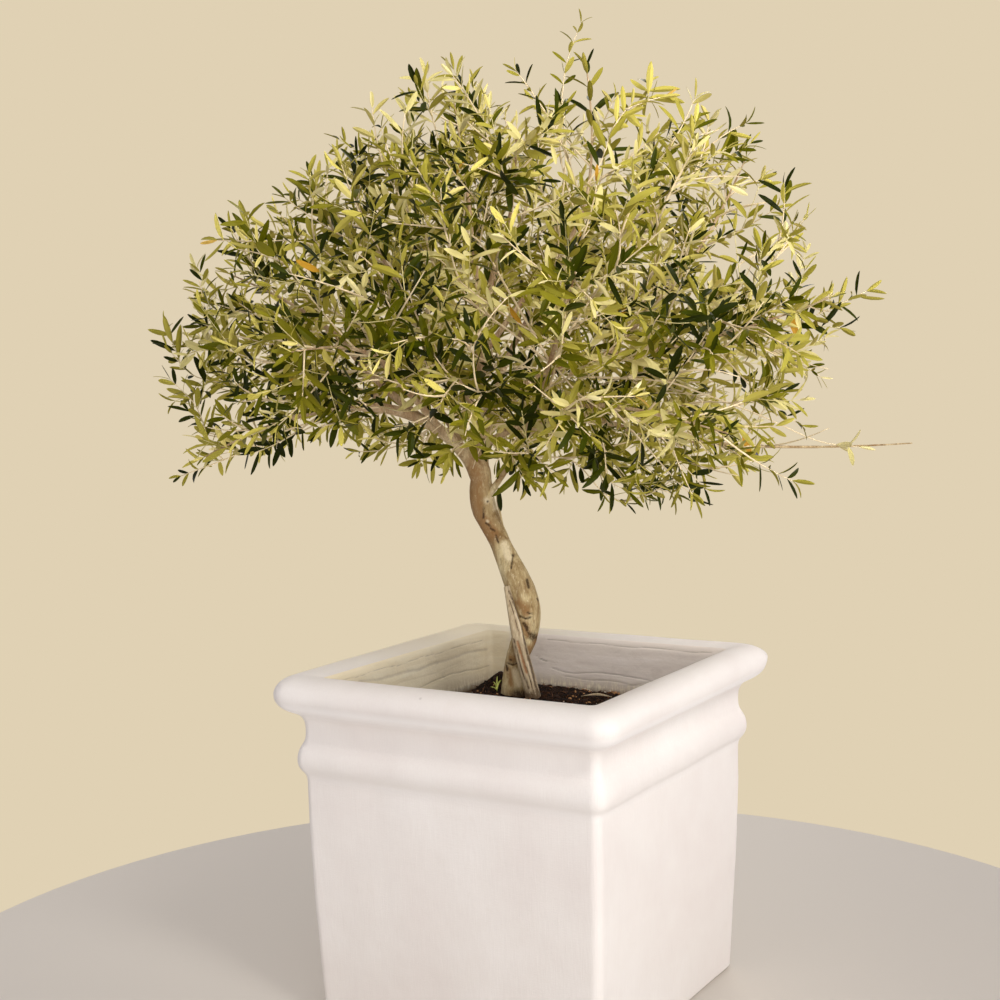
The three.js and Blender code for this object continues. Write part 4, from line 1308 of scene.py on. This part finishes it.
def grow_mass(crown, number):
    """A mass's stem and twigs where the solids have them, with finer growth on them."""
    mass = MASSES[number]
    limb = limbs[mass["name"]]
    foot = unit(limb["path"][-1] - limb["path"][-2])
    base = limb["path"][-1]
    reach = np.array(mass["reach"], float)
    bend = Bend(base, base + foot * STEM_EAGER * np.linalg.norm(reach - base), reach)
    bare = mass.get("bare", 1)
    limb["stem"] = bend
    crown.add_wood(limb["bend"], 0.45)
    crown.add_wood(bend)
    shares = pair_shares(bend, STEM_LEAVES_FROM, bare)
    stem_thick = (limb["radii"][-1], STEM_TIP_RADIUS)
    places = leaf_places(number, bend, stem_thick, shares, [number], LEAF_OUTSIDE + LEAF_REACH)
    for origin, direction in places:
        if chance.random() > 0.3 + openness(origin) and inside_outline(origin, direction):
            grow_shoot(crown, origin, direction, chance.uniform(*SHOOT_LENGTHS), pick_colour(origin))
    if bare == 1:
        add_pairs(crown, bend, 0.72, 1, chance.uniform(*LEAF_LENGTHS), pick_colour(reach))
    for twig in range(TWIGS):
        share = (TWIG_FIRST + (TWIG_LAST - TWIG_FIRST) * (twig + 0.5) / TWIGS) * bare
        turn = twig * GOLDEN_ANGLE + draw(number, twig, TURN_KEY) * TWIG_WANDER
        angle = TWIG_SPREAD * vary(number, twig, ANGLE_KEY)
        direction = lean_out(bend.tangent(share), turn, angle)
        length = TWIG_LENGTH * (1 - TWIG_TAPER * share) * vary(number, twig, LENGTH_KEY)
        twig_bend = fitting_twig(number, bend.point(share), direction, length)
        if twig_bend:
            pairs = pair_shares(twig_bend, TWIG_LEAVES_FROM, 1)
            places = leaf_places(number, twig_bend, SOLID_TWIG, pairs, [number, twig], LEAF_OUTSIDE)
            dress_twig(crown, twig_bend, places)


edge = [(side - CROWN_MIDDLE[0], height - CROWN_MIDDLE[1]) for side, height in CROWN_EDGE]
edge_angles = [math.atan2(high, side) for side, high in edge]
edge_radii = [math.hypot(side, high) for side, high in edge]


def edge_radius(angle):
    return np.interp(angle, edge_angles, edge_radii, period=2 * math.pi)


def crown_share(point):
    """How far out a point is in the crown: 0 at its middle, 1 at its outline."""
    deep = abs(point[1] - CROWN["depth"]) / CROWN["deep"]
    if deep >= 1:
        return 2
    side, high = point[0] - CROWN_MIDDLE[0], point[2] - CROWN_MIDDLE[1]
    return math.hypot(math.hypot(side, high) / edge_radius(math.atan2(high, side)), deep)


def inside_outline(origin, direction):
    """Whether a shoot from origin stays within the crown's outline, seen from the front."""
    side, height = seen(origin + direction * OUTLINE_REACH)
    return crown_share((side, CROWN["depth"], height)) < 1


def fill_targets():
    """Places all through the crown, the inner ones first, and at last those along its outline."""
    low, high = FILL_SHARES
    targets = []
    for step in range(EDGE_TARGETS):
        angle = 2 * math.pi * step / EDGE_TARGETS
        radius = high * edge_radius(angle)
        side = CROWN_MIDDLE[0] + radius * math.cos(angle)
        height = CROWN_MIDDLE[1] + radius * math.sin(angle)
        targets.append((1.0, np.array([side, chance.uniform(*EDGE_DEPTHS), height])))
    for place in product(*(range(*ends, FILL_STEP) for ends in FILL_BOX)):
        target = np.array(place) + [chance.uniform(-0.45, 0.45) * FILL_STEP for _ in range(3)]
        share = crown_share(target)
        if low < share < high and chance.random() > openness(target):
            targets.append((share, target))
    return sorted(targets, key=lambda row: row[0])


def grow_shown_twigs(crown):
    for points, radii, leaves_from in SHOWN_TWIGS:
        route = Route(points)
        steps = max(8, int(route.length() / 12))
        tube(crown.twigs, route.path(steps), np.linspace(*radii, steps + 1), 6)
        crown.add_wood(route, 0.1)
        colour = pick_colour(route.point(0.8))
        add_pairs(crown, route, leaves_from, 0.98, chance.uniform(*LEAF_LENGTHS), colour)
        for origin, direction in fill_places(route):
            if chance.random() < SHOWN_SHOOTS and inside_outline(origin, direction):
                grow_shoot(crown, origin, direction, chance.uniform(*SHOOT_LENGTHS), pick_colour(origin))


def fill_crown(crown):
    """A twig to each target that has no leaves near, from the wood that it would grow from most easily."""
    for share, target in fill_targets():
        room = mix(*FILL_ROOMS, min(1, max(0, share - 0.55) / 0.3))
        if np.linalg.norm(np.array(crown.leafy) - target, axis=1).min() < room:
            continue
        wood, ways = np.array(crown.wood), np.array(crown.ways)
        away = target - wood
        reach = np.linalg.norm(away, axis=1)
        heading = away / np.maximum(reach, 1)[:, None]
        outward = unit(target - CROWN_HEART)
        cost = reach + 70 * (1 - heading @ outward) + 50 * (1 - (heading * ways).sum(1))
        cost[(reach < FILL_LENGTHS[0]) | (reach > FILL_LENGTHS[1])] = np.inf
        best = int(np.argmin(cost))
        if not np.isfinite(cost[best]):
            continue
        pull = unit(0.6 * ways[best] + heading[best]) * reach[best] * 0.5
        bend = Bend(wood[best], wood[best] + pull, target)
        path = bend.path(TWIG_TESTS)
        if not any(touches_limb(a, b, FILL_ROOM) for a, b in zip(path[1:-1], path[2:])):
            dress_twig(crown, bend, fill_places(bend))


def fill_places(bend):
    """Where a further twig may bear side shoots."""
    count = int(bend.length() / SHOOT_PITCH)
    turn = chance.uniform(0, 2 * math.pi)
    places = []
    for place in range(count):
        share = 0.3 + 0.6 * (place + 0.5) / count
        along = bend.tangent(share)
        direction = lean_out(along, turn + place * GOLDEN_ANGLE, LEAF_ANGLE)
        if crown_share(bend.point(share) + direction * LEAF_REACH) < 1:
            places.append((bend.point(share), direction))
    return places


# A few leaves by themselves: a hanging one on the trunk, and old ones, each with the way it points
HANGING_LEAF = (-45, -16, 906)
OLD_LEAVES = [
    ((125, -250, 1196), (1.0, -0.2, 0.2)),
    ((-318, -150, 1262), (1.0, -0.1, 0.1)),
    ((456, -40, 1196), (0.3, -0.1, -1.0)),
    ((382, 10, 990), (0.3, -0.3, -1.0)),
    ((88, -120, 1368), (0.4, 0.0, -1.0)),
]


def add_lone_leaf(crown, place, direction, facing, length, colour):
    add_leaf(crown, np.array(place, float), unit(np.array(direction)), np.array(facing), length, colour)


def grow_crown():
    crown = Crown()
    for number in range(len(MASSES)):
        grow_mass(crown, number)
    grow_shown_twigs(crown)
    fill_crown(crown)
    add_lone_leaf(crown, HANGING_LEAF, (0.1, -0.1, -1.0), (0.3, -1.0, 0.2), 42, 0)
    for place, direction in OLD_LEAVES:
        add_lone_leaf(crown, place, direction, (0.1, -1.0, 0.5), 46, SHADES)
    return crown


# A leaf's outline from the stalk to the tip: shares of its length and of its width
LEAF_STATIONS = [(0.06, 0.24), (0.27, 0.82), (0.54, 1.0), (0.8, 0.8), (0.94, 0.4)]


def leaf_mesh(rows):
    """The leaves of one colour, thin closed blades folded along the midrib, and the faces of each side."""
    rows = np.array(rows)
    origin, direction, facing = rows[:, 0:3], rows[:, 3:6], rows[:, 6:9]
    length, width, curl, fold = (rows[:, k:k + 1] for k in range(9, 13))
    across = np.cross(facing, direction)
    across /= np.linalg.norm(across, axis=1)[:, None]
    points = [origin]
    for share, wide in LEAF_STATIONS:
        middle = origin + direction * length * share + facing * length * curl * share ** 2 * 2
        half = across * width * wide / 2
        lift = facing * width * wide / 2 * fold
        thick = facing * LEAF_THICKNESS / 2
        points += [middle + half + lift, middle + thick, middle - half + lift, middle - thick]
    points.append(origin + direction * length + facing * length * curl * 2)
    points = np.stack(points, axis=1)
    top, under = [(0, 2, 1), (0, 3, 2)], [(0, 1, 4), (0, 4, 3)]
    top_quads, under_quads = [], []
    for station in range(len(LEAF_STATIONS) - 1):
        a = 1 + 4 * station
        top_quads += [(a, a + 1, a + 5, a + 4), (a + 1, a + 2, a + 6, a + 5)]
        under_quads += [(a + 2, a + 3, a + 7, a + 6), (a + 3, a, a + 4, a + 7)]
    a, tip = 1 + 4 * (len(LEAF_STATIONS) - 1), 1 + 4 * len(LEAF_STATIONS)
    top += [(a, a + 1, tip), (a + 1, a + 2, tip)]
    under += [(a + 2, a + 3, tip), (a + 3, a, tip)]
    shift = (np.arange(len(rows)) * points.shape[1])[:, None, None]
    sets = [np.array(faces) for faces in (top, top_quads, under, under_quads)]
    return points.reshape(-1, 3), [(faces[None] + shift).reshape(-1, faces.shape[1]) for faces in sets]


def crease_blades(mesh, count):
    """Keep the leaves' lengthwise edges sharp, so that only their length is shaded smooth."""
    ends = np.zeros(len(mesh.edges) * 2, np.int32)
    mesh.edges.foreach_get("vertices", ends)
    low, high = np.sort(ends.reshape(-1, 2) % count, axis=1).T
    lengthwise = (low == 0) | (high == count - 1) | (high - low == 4)
    crease = mesh.attributes.new("sharp_edge", "BOOLEAN", "EDGE")
    crease.data.foreach_set("value", lengthwise)


def plain(name, rough, colour, gloss=0.5):
    """Leaves and twigs have one even colour each: their variety comes from the many colours of leaf."""
    return Finish(name, rough, gloss, colour).material


def make_foliage(crown):
    names = [f"foliage_{mass['name']}" for mass in MASSES]
    for (name, top, under), rows in zip(LEAF_COLOURS, crown.leaves):
        points, face_sets = leaf_mesh(rows)
        shape = Shape()
        shape.add(points, *face_sets, materials=(0, 0, 1, 1))
        upper = plain(f"leaf_{name}_top", 0.4, top, LEAF_GLOSS)
        lower = plain(f"leaf_{name}_under", 0.75, under, LEAF_GLOSS)
        piece = make_piece(f"leaves_{name}", shape, [upper, lower], names)
        crease_blades(piece.data, len(points) // len(rows))
    make_piece("twigs", crown.twigs, [plain("twig_bark", 0.75, (234, 213, 172))], names)
    make_piece("shoots", crown.shoots, [plain("shoot_bark", 0.65, (220, 206, 142))], names)


# Limbs with their bark

TRUNK_SIDES = 60
TRUNK_SPACING = 2.0
LEADER_FOOT = 12.5
BOUGH_SIDES = 16
BOUGH_SPACING = 4
DRY_SIDES = 48
DRY_SPACING = 1.6

# How far a bough's thickened foot reaches, as a share of its limb's radius, and how much thicker it is
COLLAR = {"reach": 1.3, "swell": 0.5}

# Marks on the front of the trunk and of the dry stem: the tone, the width, how far it stands out, and the
# points it runs through: [side, height]
TRUNK_MARKS = [
    ("rust", 17.0, 0.0, [(-84, 935), (-88, 890), (-82, 855), (-66, 822)]),
    ("pale", 6.0, 1.8, [(-65, 883)]),
    ("dark", 2.2, -2.6, [(-64, 881)]),
    ("pale", 4.0, 0.8, [(-55, 896), (-51, 868)]),
    ("dark", 1.8, -0.9, [(-71, 872), (-72, 852)]),
    ("pale", 3.0, 0.7, [(-65, 847)]),
    ("rust", 6.0, -0.9, [(-67, 845), (-60, 836), (-53, 827)]),
    ("dark", 1.7, -1.2, [(-68, 844), (-60, 838)]),
    ("dark", 1.7, -1.2, [(-60, 834), (-53, 830)]),
    ("dark", 1.7, -0.8, [(-51, 822), (-47, 810)]),
    ("pale", 7.0, 0.6, [(-36, 806), (-30, 785)]),
    ("dark", 2.6, -1.6, [(-22, 788)]),
    ("dark", 1.4, -0.6, [(-22, 786), (-26, 766)]),
    ("dark", 2.4, -2.0, [(1, 745), (4, 733)]),
    ("dark", 1.1, -0.6, [(18, 712), (20, 708)]),
    ("rust", 9.0, 0.0, [(-14, 706), (-2, 692)]),
    ("dark", 1.8, -1.7, [(-12, 683), (-3, 679), (6, 681)]),
    ("dark", 1.4, -0.8, [(0, 690), (9, 687)]),
    ("rust", 7.0, 2.4, [(-2, 668), (1, 650)]),
    ("dark", 3.2, -2.4, [(-6, 670), (0, 662)]),
    ("dark", 1.8, -2.0, [(-1, 659), (4, 651)]),
    ("dark", 6.5, -3.4, [(8, 646), (12, 643)]),
    ("rust", 5.0, 1.6, [(14, 636)]),
    ("rust", 6.0, 0.8, [(3, 626), (0, 612)]),
    ("rust", 6.0, 2.2, [(-29, 607), (-20, 609)]),
    ("dark", 2.2, -2.2, [(-30, 604)]),
    ("dark", 2.2, -2.0, [(-20, 612)]),
    ("dark", 1.5, -1.1, [(-36, 598), (-26, 595), (-14, 600)]),
    ("dark", 2.2, -1.2, [(-37, 592), (-36, 585)]),
    ("rust", 5.0, 0.5, [(-34, 586), (-30, 560)]),
    ("pale", 6.0, 0.4, [(-22, 584), (-16, 562)]),
    ("dark", 10.0, 0.0, [(-22, 541), (0, 541)]),
]
STEM_MARKS = [
    # The first dark line, along the stem's right edge, is painted shadow between the stem and the trunk
    ("dark", 2.0, -1.2, [(-30, 727), (-17, 693), (-9, 667), (-4, 631), (5, 596), (13, 559), (19, 540)]),
    ("rust", 2.4, -2.4, [(-18, 642), (-13, 624), (-9, 610), (-3, 588)]),
    ("dark", 1.2, -2.2, [(-24, 646), (-17, 615), (-9, 585), (0, 560)]),
    ("dark", 0.8, -0.7, [(-30, 712), (-23, 690), (-16, 660)]),
    ("pale", 2.6, 0.5, [(-20, 704), (-12, 668), (-6, 640)]),
    ("dark", 0.8, -0.8, [(-4, 600), (4, 570), (8, 552)]),
    ("pale", 2.4, 0.5, [(-1, 606), (7, 575)]),
    ("dark", 12.0, 0.0, [(-8, 546), (14, 541)]),
]

# Small limbs of their own: [side, depth, height, radius]
SPLINTER = [(-21, -55, 644, 2.4), (-12, -57, 605, 3.6), (-1, -53, 566, 4.2), (4, -50, 545, 4.5)]
PEELED_STRIP = [(-46, -2, 908, 0.8), (-47, -8, 884, 2.2), (-43, -13, 862, 1.8), (-38, -13, 840, 0.6)]
CUT_STUB = [(-247, -52, 1046, 5.5), (-249, -57, 1060, 4.6), (-249, -60, 1073, 4.2)]
STALK = [(419, 32, 1016, 0.7), (409, 24, 982, 0.7), (406, 20, 955, 0.8)]
FRUIT = (406, 20, 948)
FRUIT_SIZE = (6.2, 8)


def bark_relief(points, outward):
    """Soft lengthwise swellings, wrinkles and pores."""
    return waves(points * (1, 1, 0.35), (0.9, 16, 0.0)) + waves(points, (0.35, 7, 4.2), (0.16, 2.6, 8.1))


def bough_relief(points, outward):
    return 0.4 * bark_relief(points, outward)


def mark_share(points, width, route):
    """1 on a mark's middle line, seen from the front, and less beside it."""
    return np.exp(-(line_distance(points[:, 0], points[:, 2], route) / width) ** 2)


def mark_strength(points, marks, tone):
    """How strongly the marks of one tone show at each point of a limb's front."""
    shares = [mark_share(points, width, route) for kind, width, _, route in marks if kind == tone]
    return np.minimum(1, sum(shares))


def marked_relief(points, outward, marks):
    """The marks' own relief, on the side of a limb that faces the front."""
    rise = sum(height * mark_share(points, width, route) for _, width, height, route in marks)
    return rise * np.clip(-1.6 * outward[:, 1], 0, 1)


def trunk_relief(points, outward):
    return bark_relief(points, outward) + marked_relief(points, outward, TRUNK_MARKS)


def stem_relief(points, outward):
    """Square edges and long grooves of dry split wood."""
    square = (outward[:, 0] ** 4 + outward[:, 1] ** 4 + 1e-6) ** -0.25 - 1
    grooves = np.abs(noise_at(points * (1, 1, 0.05), 5, 3.7))
    split = 8 * np.clip(square, 0, 0.2) - 0.7 * np.exp(-(grooves / 0.09) ** 2)
    return split + marked_relief(points, outward, STEM_MARKS)


def add_tones(piece, shape, marks, path):
    """The marks' tones, only on the front half of the limbs that have them."""
    points = np.concatenate(shape.points)
    order = np.argsort(path[:, 2])
    middle = np.interp(points[:, 2], path[order, 2], path[order, 1])
    front = (points[:, 1] < middle) * 1.0
    for tone in ("dark", "pale", "rust"):
        add_tone(piece, tone, mark_strength(points, marks, tone) * front)


def add_limb(shape, rows, sides, relief=None):
    path = Spline(rows).path(30)
    tube(shape, path[:, :3], path[:, 3], sides, relief)


def joined(*stretches):
    """One path or row of radii from several that follow on each other."""
    return np.concatenate([stretches[0]] + [stretch[1:] for stretch in stretches[1:]])


def make_limbs():
    wood = Shape()
    trunk = Spline(TRUNK).path(160)
    leader = limbs["leader"]
    middle = leader["radii"][-1]
    path = joined(trunk[:, :3], leader["bend"].path(60), leader["stem"].path(60))
    bend_radii, stem_radii = np.linspace(LEADER_FOOT, middle, 61), np.linspace(middle, STEM_TIP_RADIUS, 61)
    radii = joined(trunk[:, 3], bend_radii, stem_radii)
    path, radii = even_path(path, radii, TRUNK_SPACING)
    tube(wood, path, smoothed(radii, 16), TRUNK_SIDES, trunk_relief)
    add_limb(wood, PEELED_STRIP, 10)
    add_limb(wood, CUT_STUB, 14, bark_relief)
    for name, parent, _, _, _, (foot, tip) in BOUGHS:
        if name == "leader":
            continue
        path = joined(limbs[name]["bend"].path(40), limbs[name]["stem"].path(50))
        radii = joined(np.linspace(foot, tip, 41), np.linspace(tip, STEM_TIP_RADIUS, 51))
        path, radii = even_path(path, radii, BOUGH_SPACING)
        reach = np.arange(len(path)) * BOUGH_SPACING / (limbs[parent]["radii"].mean() * COLLAR["reach"])
        tube(wood, path, radii * (1 + COLLAR["swell"] * np.exp(-reach ** 2)), BOUGH_SIDES, bough_relief)
    names = ["trunk"] + [f"bough_{bough[0]}" for bough in BOUGHS]
    add_tones(make_piece("limbs", wood, [bark_finish()], names), wood, TRUNK_MARKS, trunk)


def make_dry_stem():
    dry = Shape()
    stem = Spline(SECOND_STEM).path(60)
    path, radii = even_path(stem[:, :3], stem[:, 3], DRY_SPACING)
    tube(dry, path, radii, DRY_SIDES, stem_relief)
    add_limb(dry, SPLINTER, 16, stem_relief)
    piece = make_piece("dry_stem", dry, [dry_finish()], ["second_stem"])
    add_tones(piece, dry, STEM_MARKS, stem)


def make_fruit():
    """One ripe olive with its grey bloom, hanging low on the right, and its stalk."""
    olive, stalk = Shape(), Shape()
    wide, tall = FRUIT_SIZE
    turns = np.linspace(0.08, math.pi - 0.08, 17)
    path = np.array(FRUIT) + np.stack([0 * turns, 0 * turns, tall * np.cos(turns)], axis=1)
    tube(olive, path, wide * np.sin(turns), 20)
    add_limb(stalk, STALK, 6)
    skin = Finish("olive_skin", 0.45, 0.4)
    bloom = skin.ramp(skin.noise(160.0, 4.0, 0.6), (0.42, (26, 18, 24)), (0.7, (122, 116, 122)))
    make_piece("fruit", olive, [skin.done(bloom)], ["foliage_right"])
    green = mottled("stalk_green", 0.65, 120.0, (0.35, (150, 140, 84)), (0.6, (190, 178, 116)))
    make_piece("fruit_stalk", stalk, [green], ["foliage_right"])


def toned(finish, colour, dark, pale, rust):
    """The colour with the limb's own marks over it, ragged and broken, and on the dry stem a painted shadow
    along its edge by the trunk.
    """
    ragged = finish.ramp(finish.noise((240, 240, 130), 4.0, 0.75), (0.34, 0.1), (0.56, 1.0))
    for tone, target, most in (("rust", rust, 0.8), ("pale", pale, 0.75), ("dark", dark, 0.9)):
        mark = finish.attribute(tone)
        strength = finish.number("ADD", finish.times(mark, ragged), finish.times(mark, 0.3))
        colour = finish.over(colour, target, strength, 0.1, 0.85, most)
    return colour


def bark_finish():
    """Smooth grey tan bark with browner patches, lengthwise streaks and pores, pinker up in the crown."""
    finish = Finish("bark_smooth", 0.75, 0.25)
    patches = finish.noise((44, 44, 18), 5.0, 0.62, 0.6)
    streaks = finish.noise((300, 300, 34), 4.0, 0.65)
    pores = finish.noise((420, 420, 200), 3.0, 0.7)
    flecks = finish.noise((330, 330, 120), 3.0, 0.7, 0.4)
    height = finish.axis("Z")
    colour = finish.ramp(patches, (0.32, (134, 105, 64)), (0.48, (182, 159, 114)), (0.64, (218, 201, 156)))
    pink = finish.ramp(patches, (0.3, (166, 128, 98)), (0.6, (212, 182, 148)))
    colour = finish.blend(finish.times(finish.span(height, 0.9, 1.05), 0.7), colour, pink)
    colour = finish.over(colour, (132, 104, 68), streaks, 0.45, 0.72, 0.6)
    colour = finish.over(colour, (104, 78, 48), pores, 0.6, 0.7, 0.7)
    colour = finish.over(colour, (234, 219, 182), flecks, 0.58, 0.7, 0.6)
    colour = finish.blend(finish.times(finish.span(height, 0.560, 0.541), 0.6), colour, (92, 72, 52))
    colour = toned(finish, colour, (60, 40, 22), (232, 216, 180), (148, 108, 64))
    return finish.done(colour, (streaks, 0.0014, 0.6), (pores, 0.0006, 0.5))


def dry_finish():
    """Grey split wood with long fibres."""
    finish = Finish("dry_wood", 0.85, 0.2)
    grain = finish.noise((330, 330, 26), 5.0, 0.7)
    colour = finish.ramp(grain, (0.3, (150, 128, 98)), (0.5, (186, 167, 136)), (0.7, (208, 191, 160)))
    colour = toned(finish, colour, (84, 64, 44), (222, 206, 176), (146, 96, 54))
    return finish.done(colour, (grain, 0.0016, 0.8))


# Camera, light and floor

CAMERA_PLACE = (1.40063, -2.43041, 1.13255)
CAMERA_YAW = math.radians(30.823)
CAMERA_PITCH = math.radians(5.094)
CAMERA_ROLL = math.radians(-1.250)
CAMERA_LENS = 58.14
SENSOR = 36

# The studio's lamps: place, target, width, power, colour, and how wide their beam is in degrees
LIGHTS = {
    "key": ((3.0, -2.0, 0.42), (0, 0, 0.8), 2.0, 51, (1.0, 0.985, 0.965), 180),
    "front": ((1.6, -2.5, 1.5), (0, 0, 0.55), 1.0, 10, (1.0, 0.98, 0.955), 180),
    "crown": ((2.1, -1.1, 2.7), (0.12, 0, 1.38), 1.0, 5, (1.0, 0.98, 0.95), 48),
    "rim": ((-0.6, 2.8, 3.0), (0, 0, 1.2), 1.6, 26, (1.0, 0.97, 0.92), 180),
}
SOFT_LIGHT = (244, 240, 243)
SOFT_STRENGTH = 0.65
BACKDROP = (224, 209, 180)
FLOOR_RADIUS = 1.2
FLOOR_CORNERS = 96


def add_object(name, data):
    made = bpy.data.objects.new(name, data)
    bpy.context.scene.collection.objects.link(made)
    return made


def add_camera():
    yaw, pitch, roll = CAMERA_YAW, CAMERA_PITCH, CAMERA_ROLL
    right = Vector((math.cos(yaw), math.sin(yaw), 0))
    forward = Vector((-math.sin(yaw) * math.cos(pitch), math.cos(yaw) * math.cos(pitch), -math.sin(pitch)))
    up = Vector((-math.sin(yaw) * math.sin(pitch), math.cos(yaw) * math.sin(pitch), math.cos(pitch)))
    x = right * math.cos(roll) + up * math.sin(roll)
    y = up * math.cos(roll) - right * math.sin(roll)
    data = bpy.data.cameras.new("view")
    data.lens = CAMERA_LENS
    data.sensor_width = SENSOR
    camera = add_object("view", data)
    camera.matrix_world = Matrix.Translation(CAMERA_PLACE) @ Matrix((x, y, -forward)).transposed().to_4x4()
    bpy.context.scene.camera = camera


def add_lights():
    for name, (place, target, width, power, colour, beam) in LIGHTS.items():
        data = bpy.data.lights.new(name, "AREA")
        data.shape = "DISK"
        data.size = width
        data.energy = power
        data.color = colour
        data.spread = math.radians(beam)
        light = add_object(name, data)
        light.location = place
        light.rotation_euler = (Vector(target) - Vector(place)).to_track_quat("-Z", "Y").to_euler()


def add_surroundings():
    """Soft light from all round, and a plain backdrop that only the camera sees."""
    world = bpy.data.worlds.new("studio")
    world.use_nodes = True
    nodes, links = world.node_tree.nodes, world.node_tree.links
    soft, backdrop = nodes["Background"], nodes.new("ShaderNodeBackground")
    soft.inputs["Strength"].default_value = SOFT_STRENGTH
    soft.inputs["Color"].default_value = (*srgb(SOFT_LIGHT), 1)
    backdrop.inputs["Color"].default_value = (*srgb(BACKDROP), 1)
    choice = nodes.new("ShaderNodeMixShader")
    links.new(nodes.new("ShaderNodeLightPath").outputs["Is Camera Ray"], choice.inputs["Fac"])
    links.new(soft.outputs["Background"], choice.inputs[1])
    links.new(backdrop.outputs["Background"], choice.inputs[2])
    links.new(choice.outputs["Shader"], nodes["World Output"].inputs["Surface"])
    bpy.context.scene.world = world
    bpy.context.scene.view_settings.view_transform = "Standard"


def add_floor():
    mesh = bpy.data.meshes.new("floor")
    angles = [2 * math.pi * corner / FLOOR_CORNERS for corner in range(FLOOR_CORNERS)]
    ring = [(FLOOR_RADIUS * math.cos(angle), FLOOR_RADIUS * math.sin(angle), 0) for angle in angles]
    mesh.from_pydata(ring, [], [range(FLOOR_CORNERS)])
    mesh.materials.append(Finish("floor_plain", 0.8, colour=(216, 209, 198)).material)
    floor = add_object("floor", mesh)


add_camera()
add_lights()
add_surroundings()
add_floor()
make_pot()
make_soil()
make_soil_bits()
make_chip_and_sprout()
crown = grow_crown()
make_limbs()
make_dry_stem()
make_fruit()
make_foliage(crown)

bpy.context.view_layer.update()
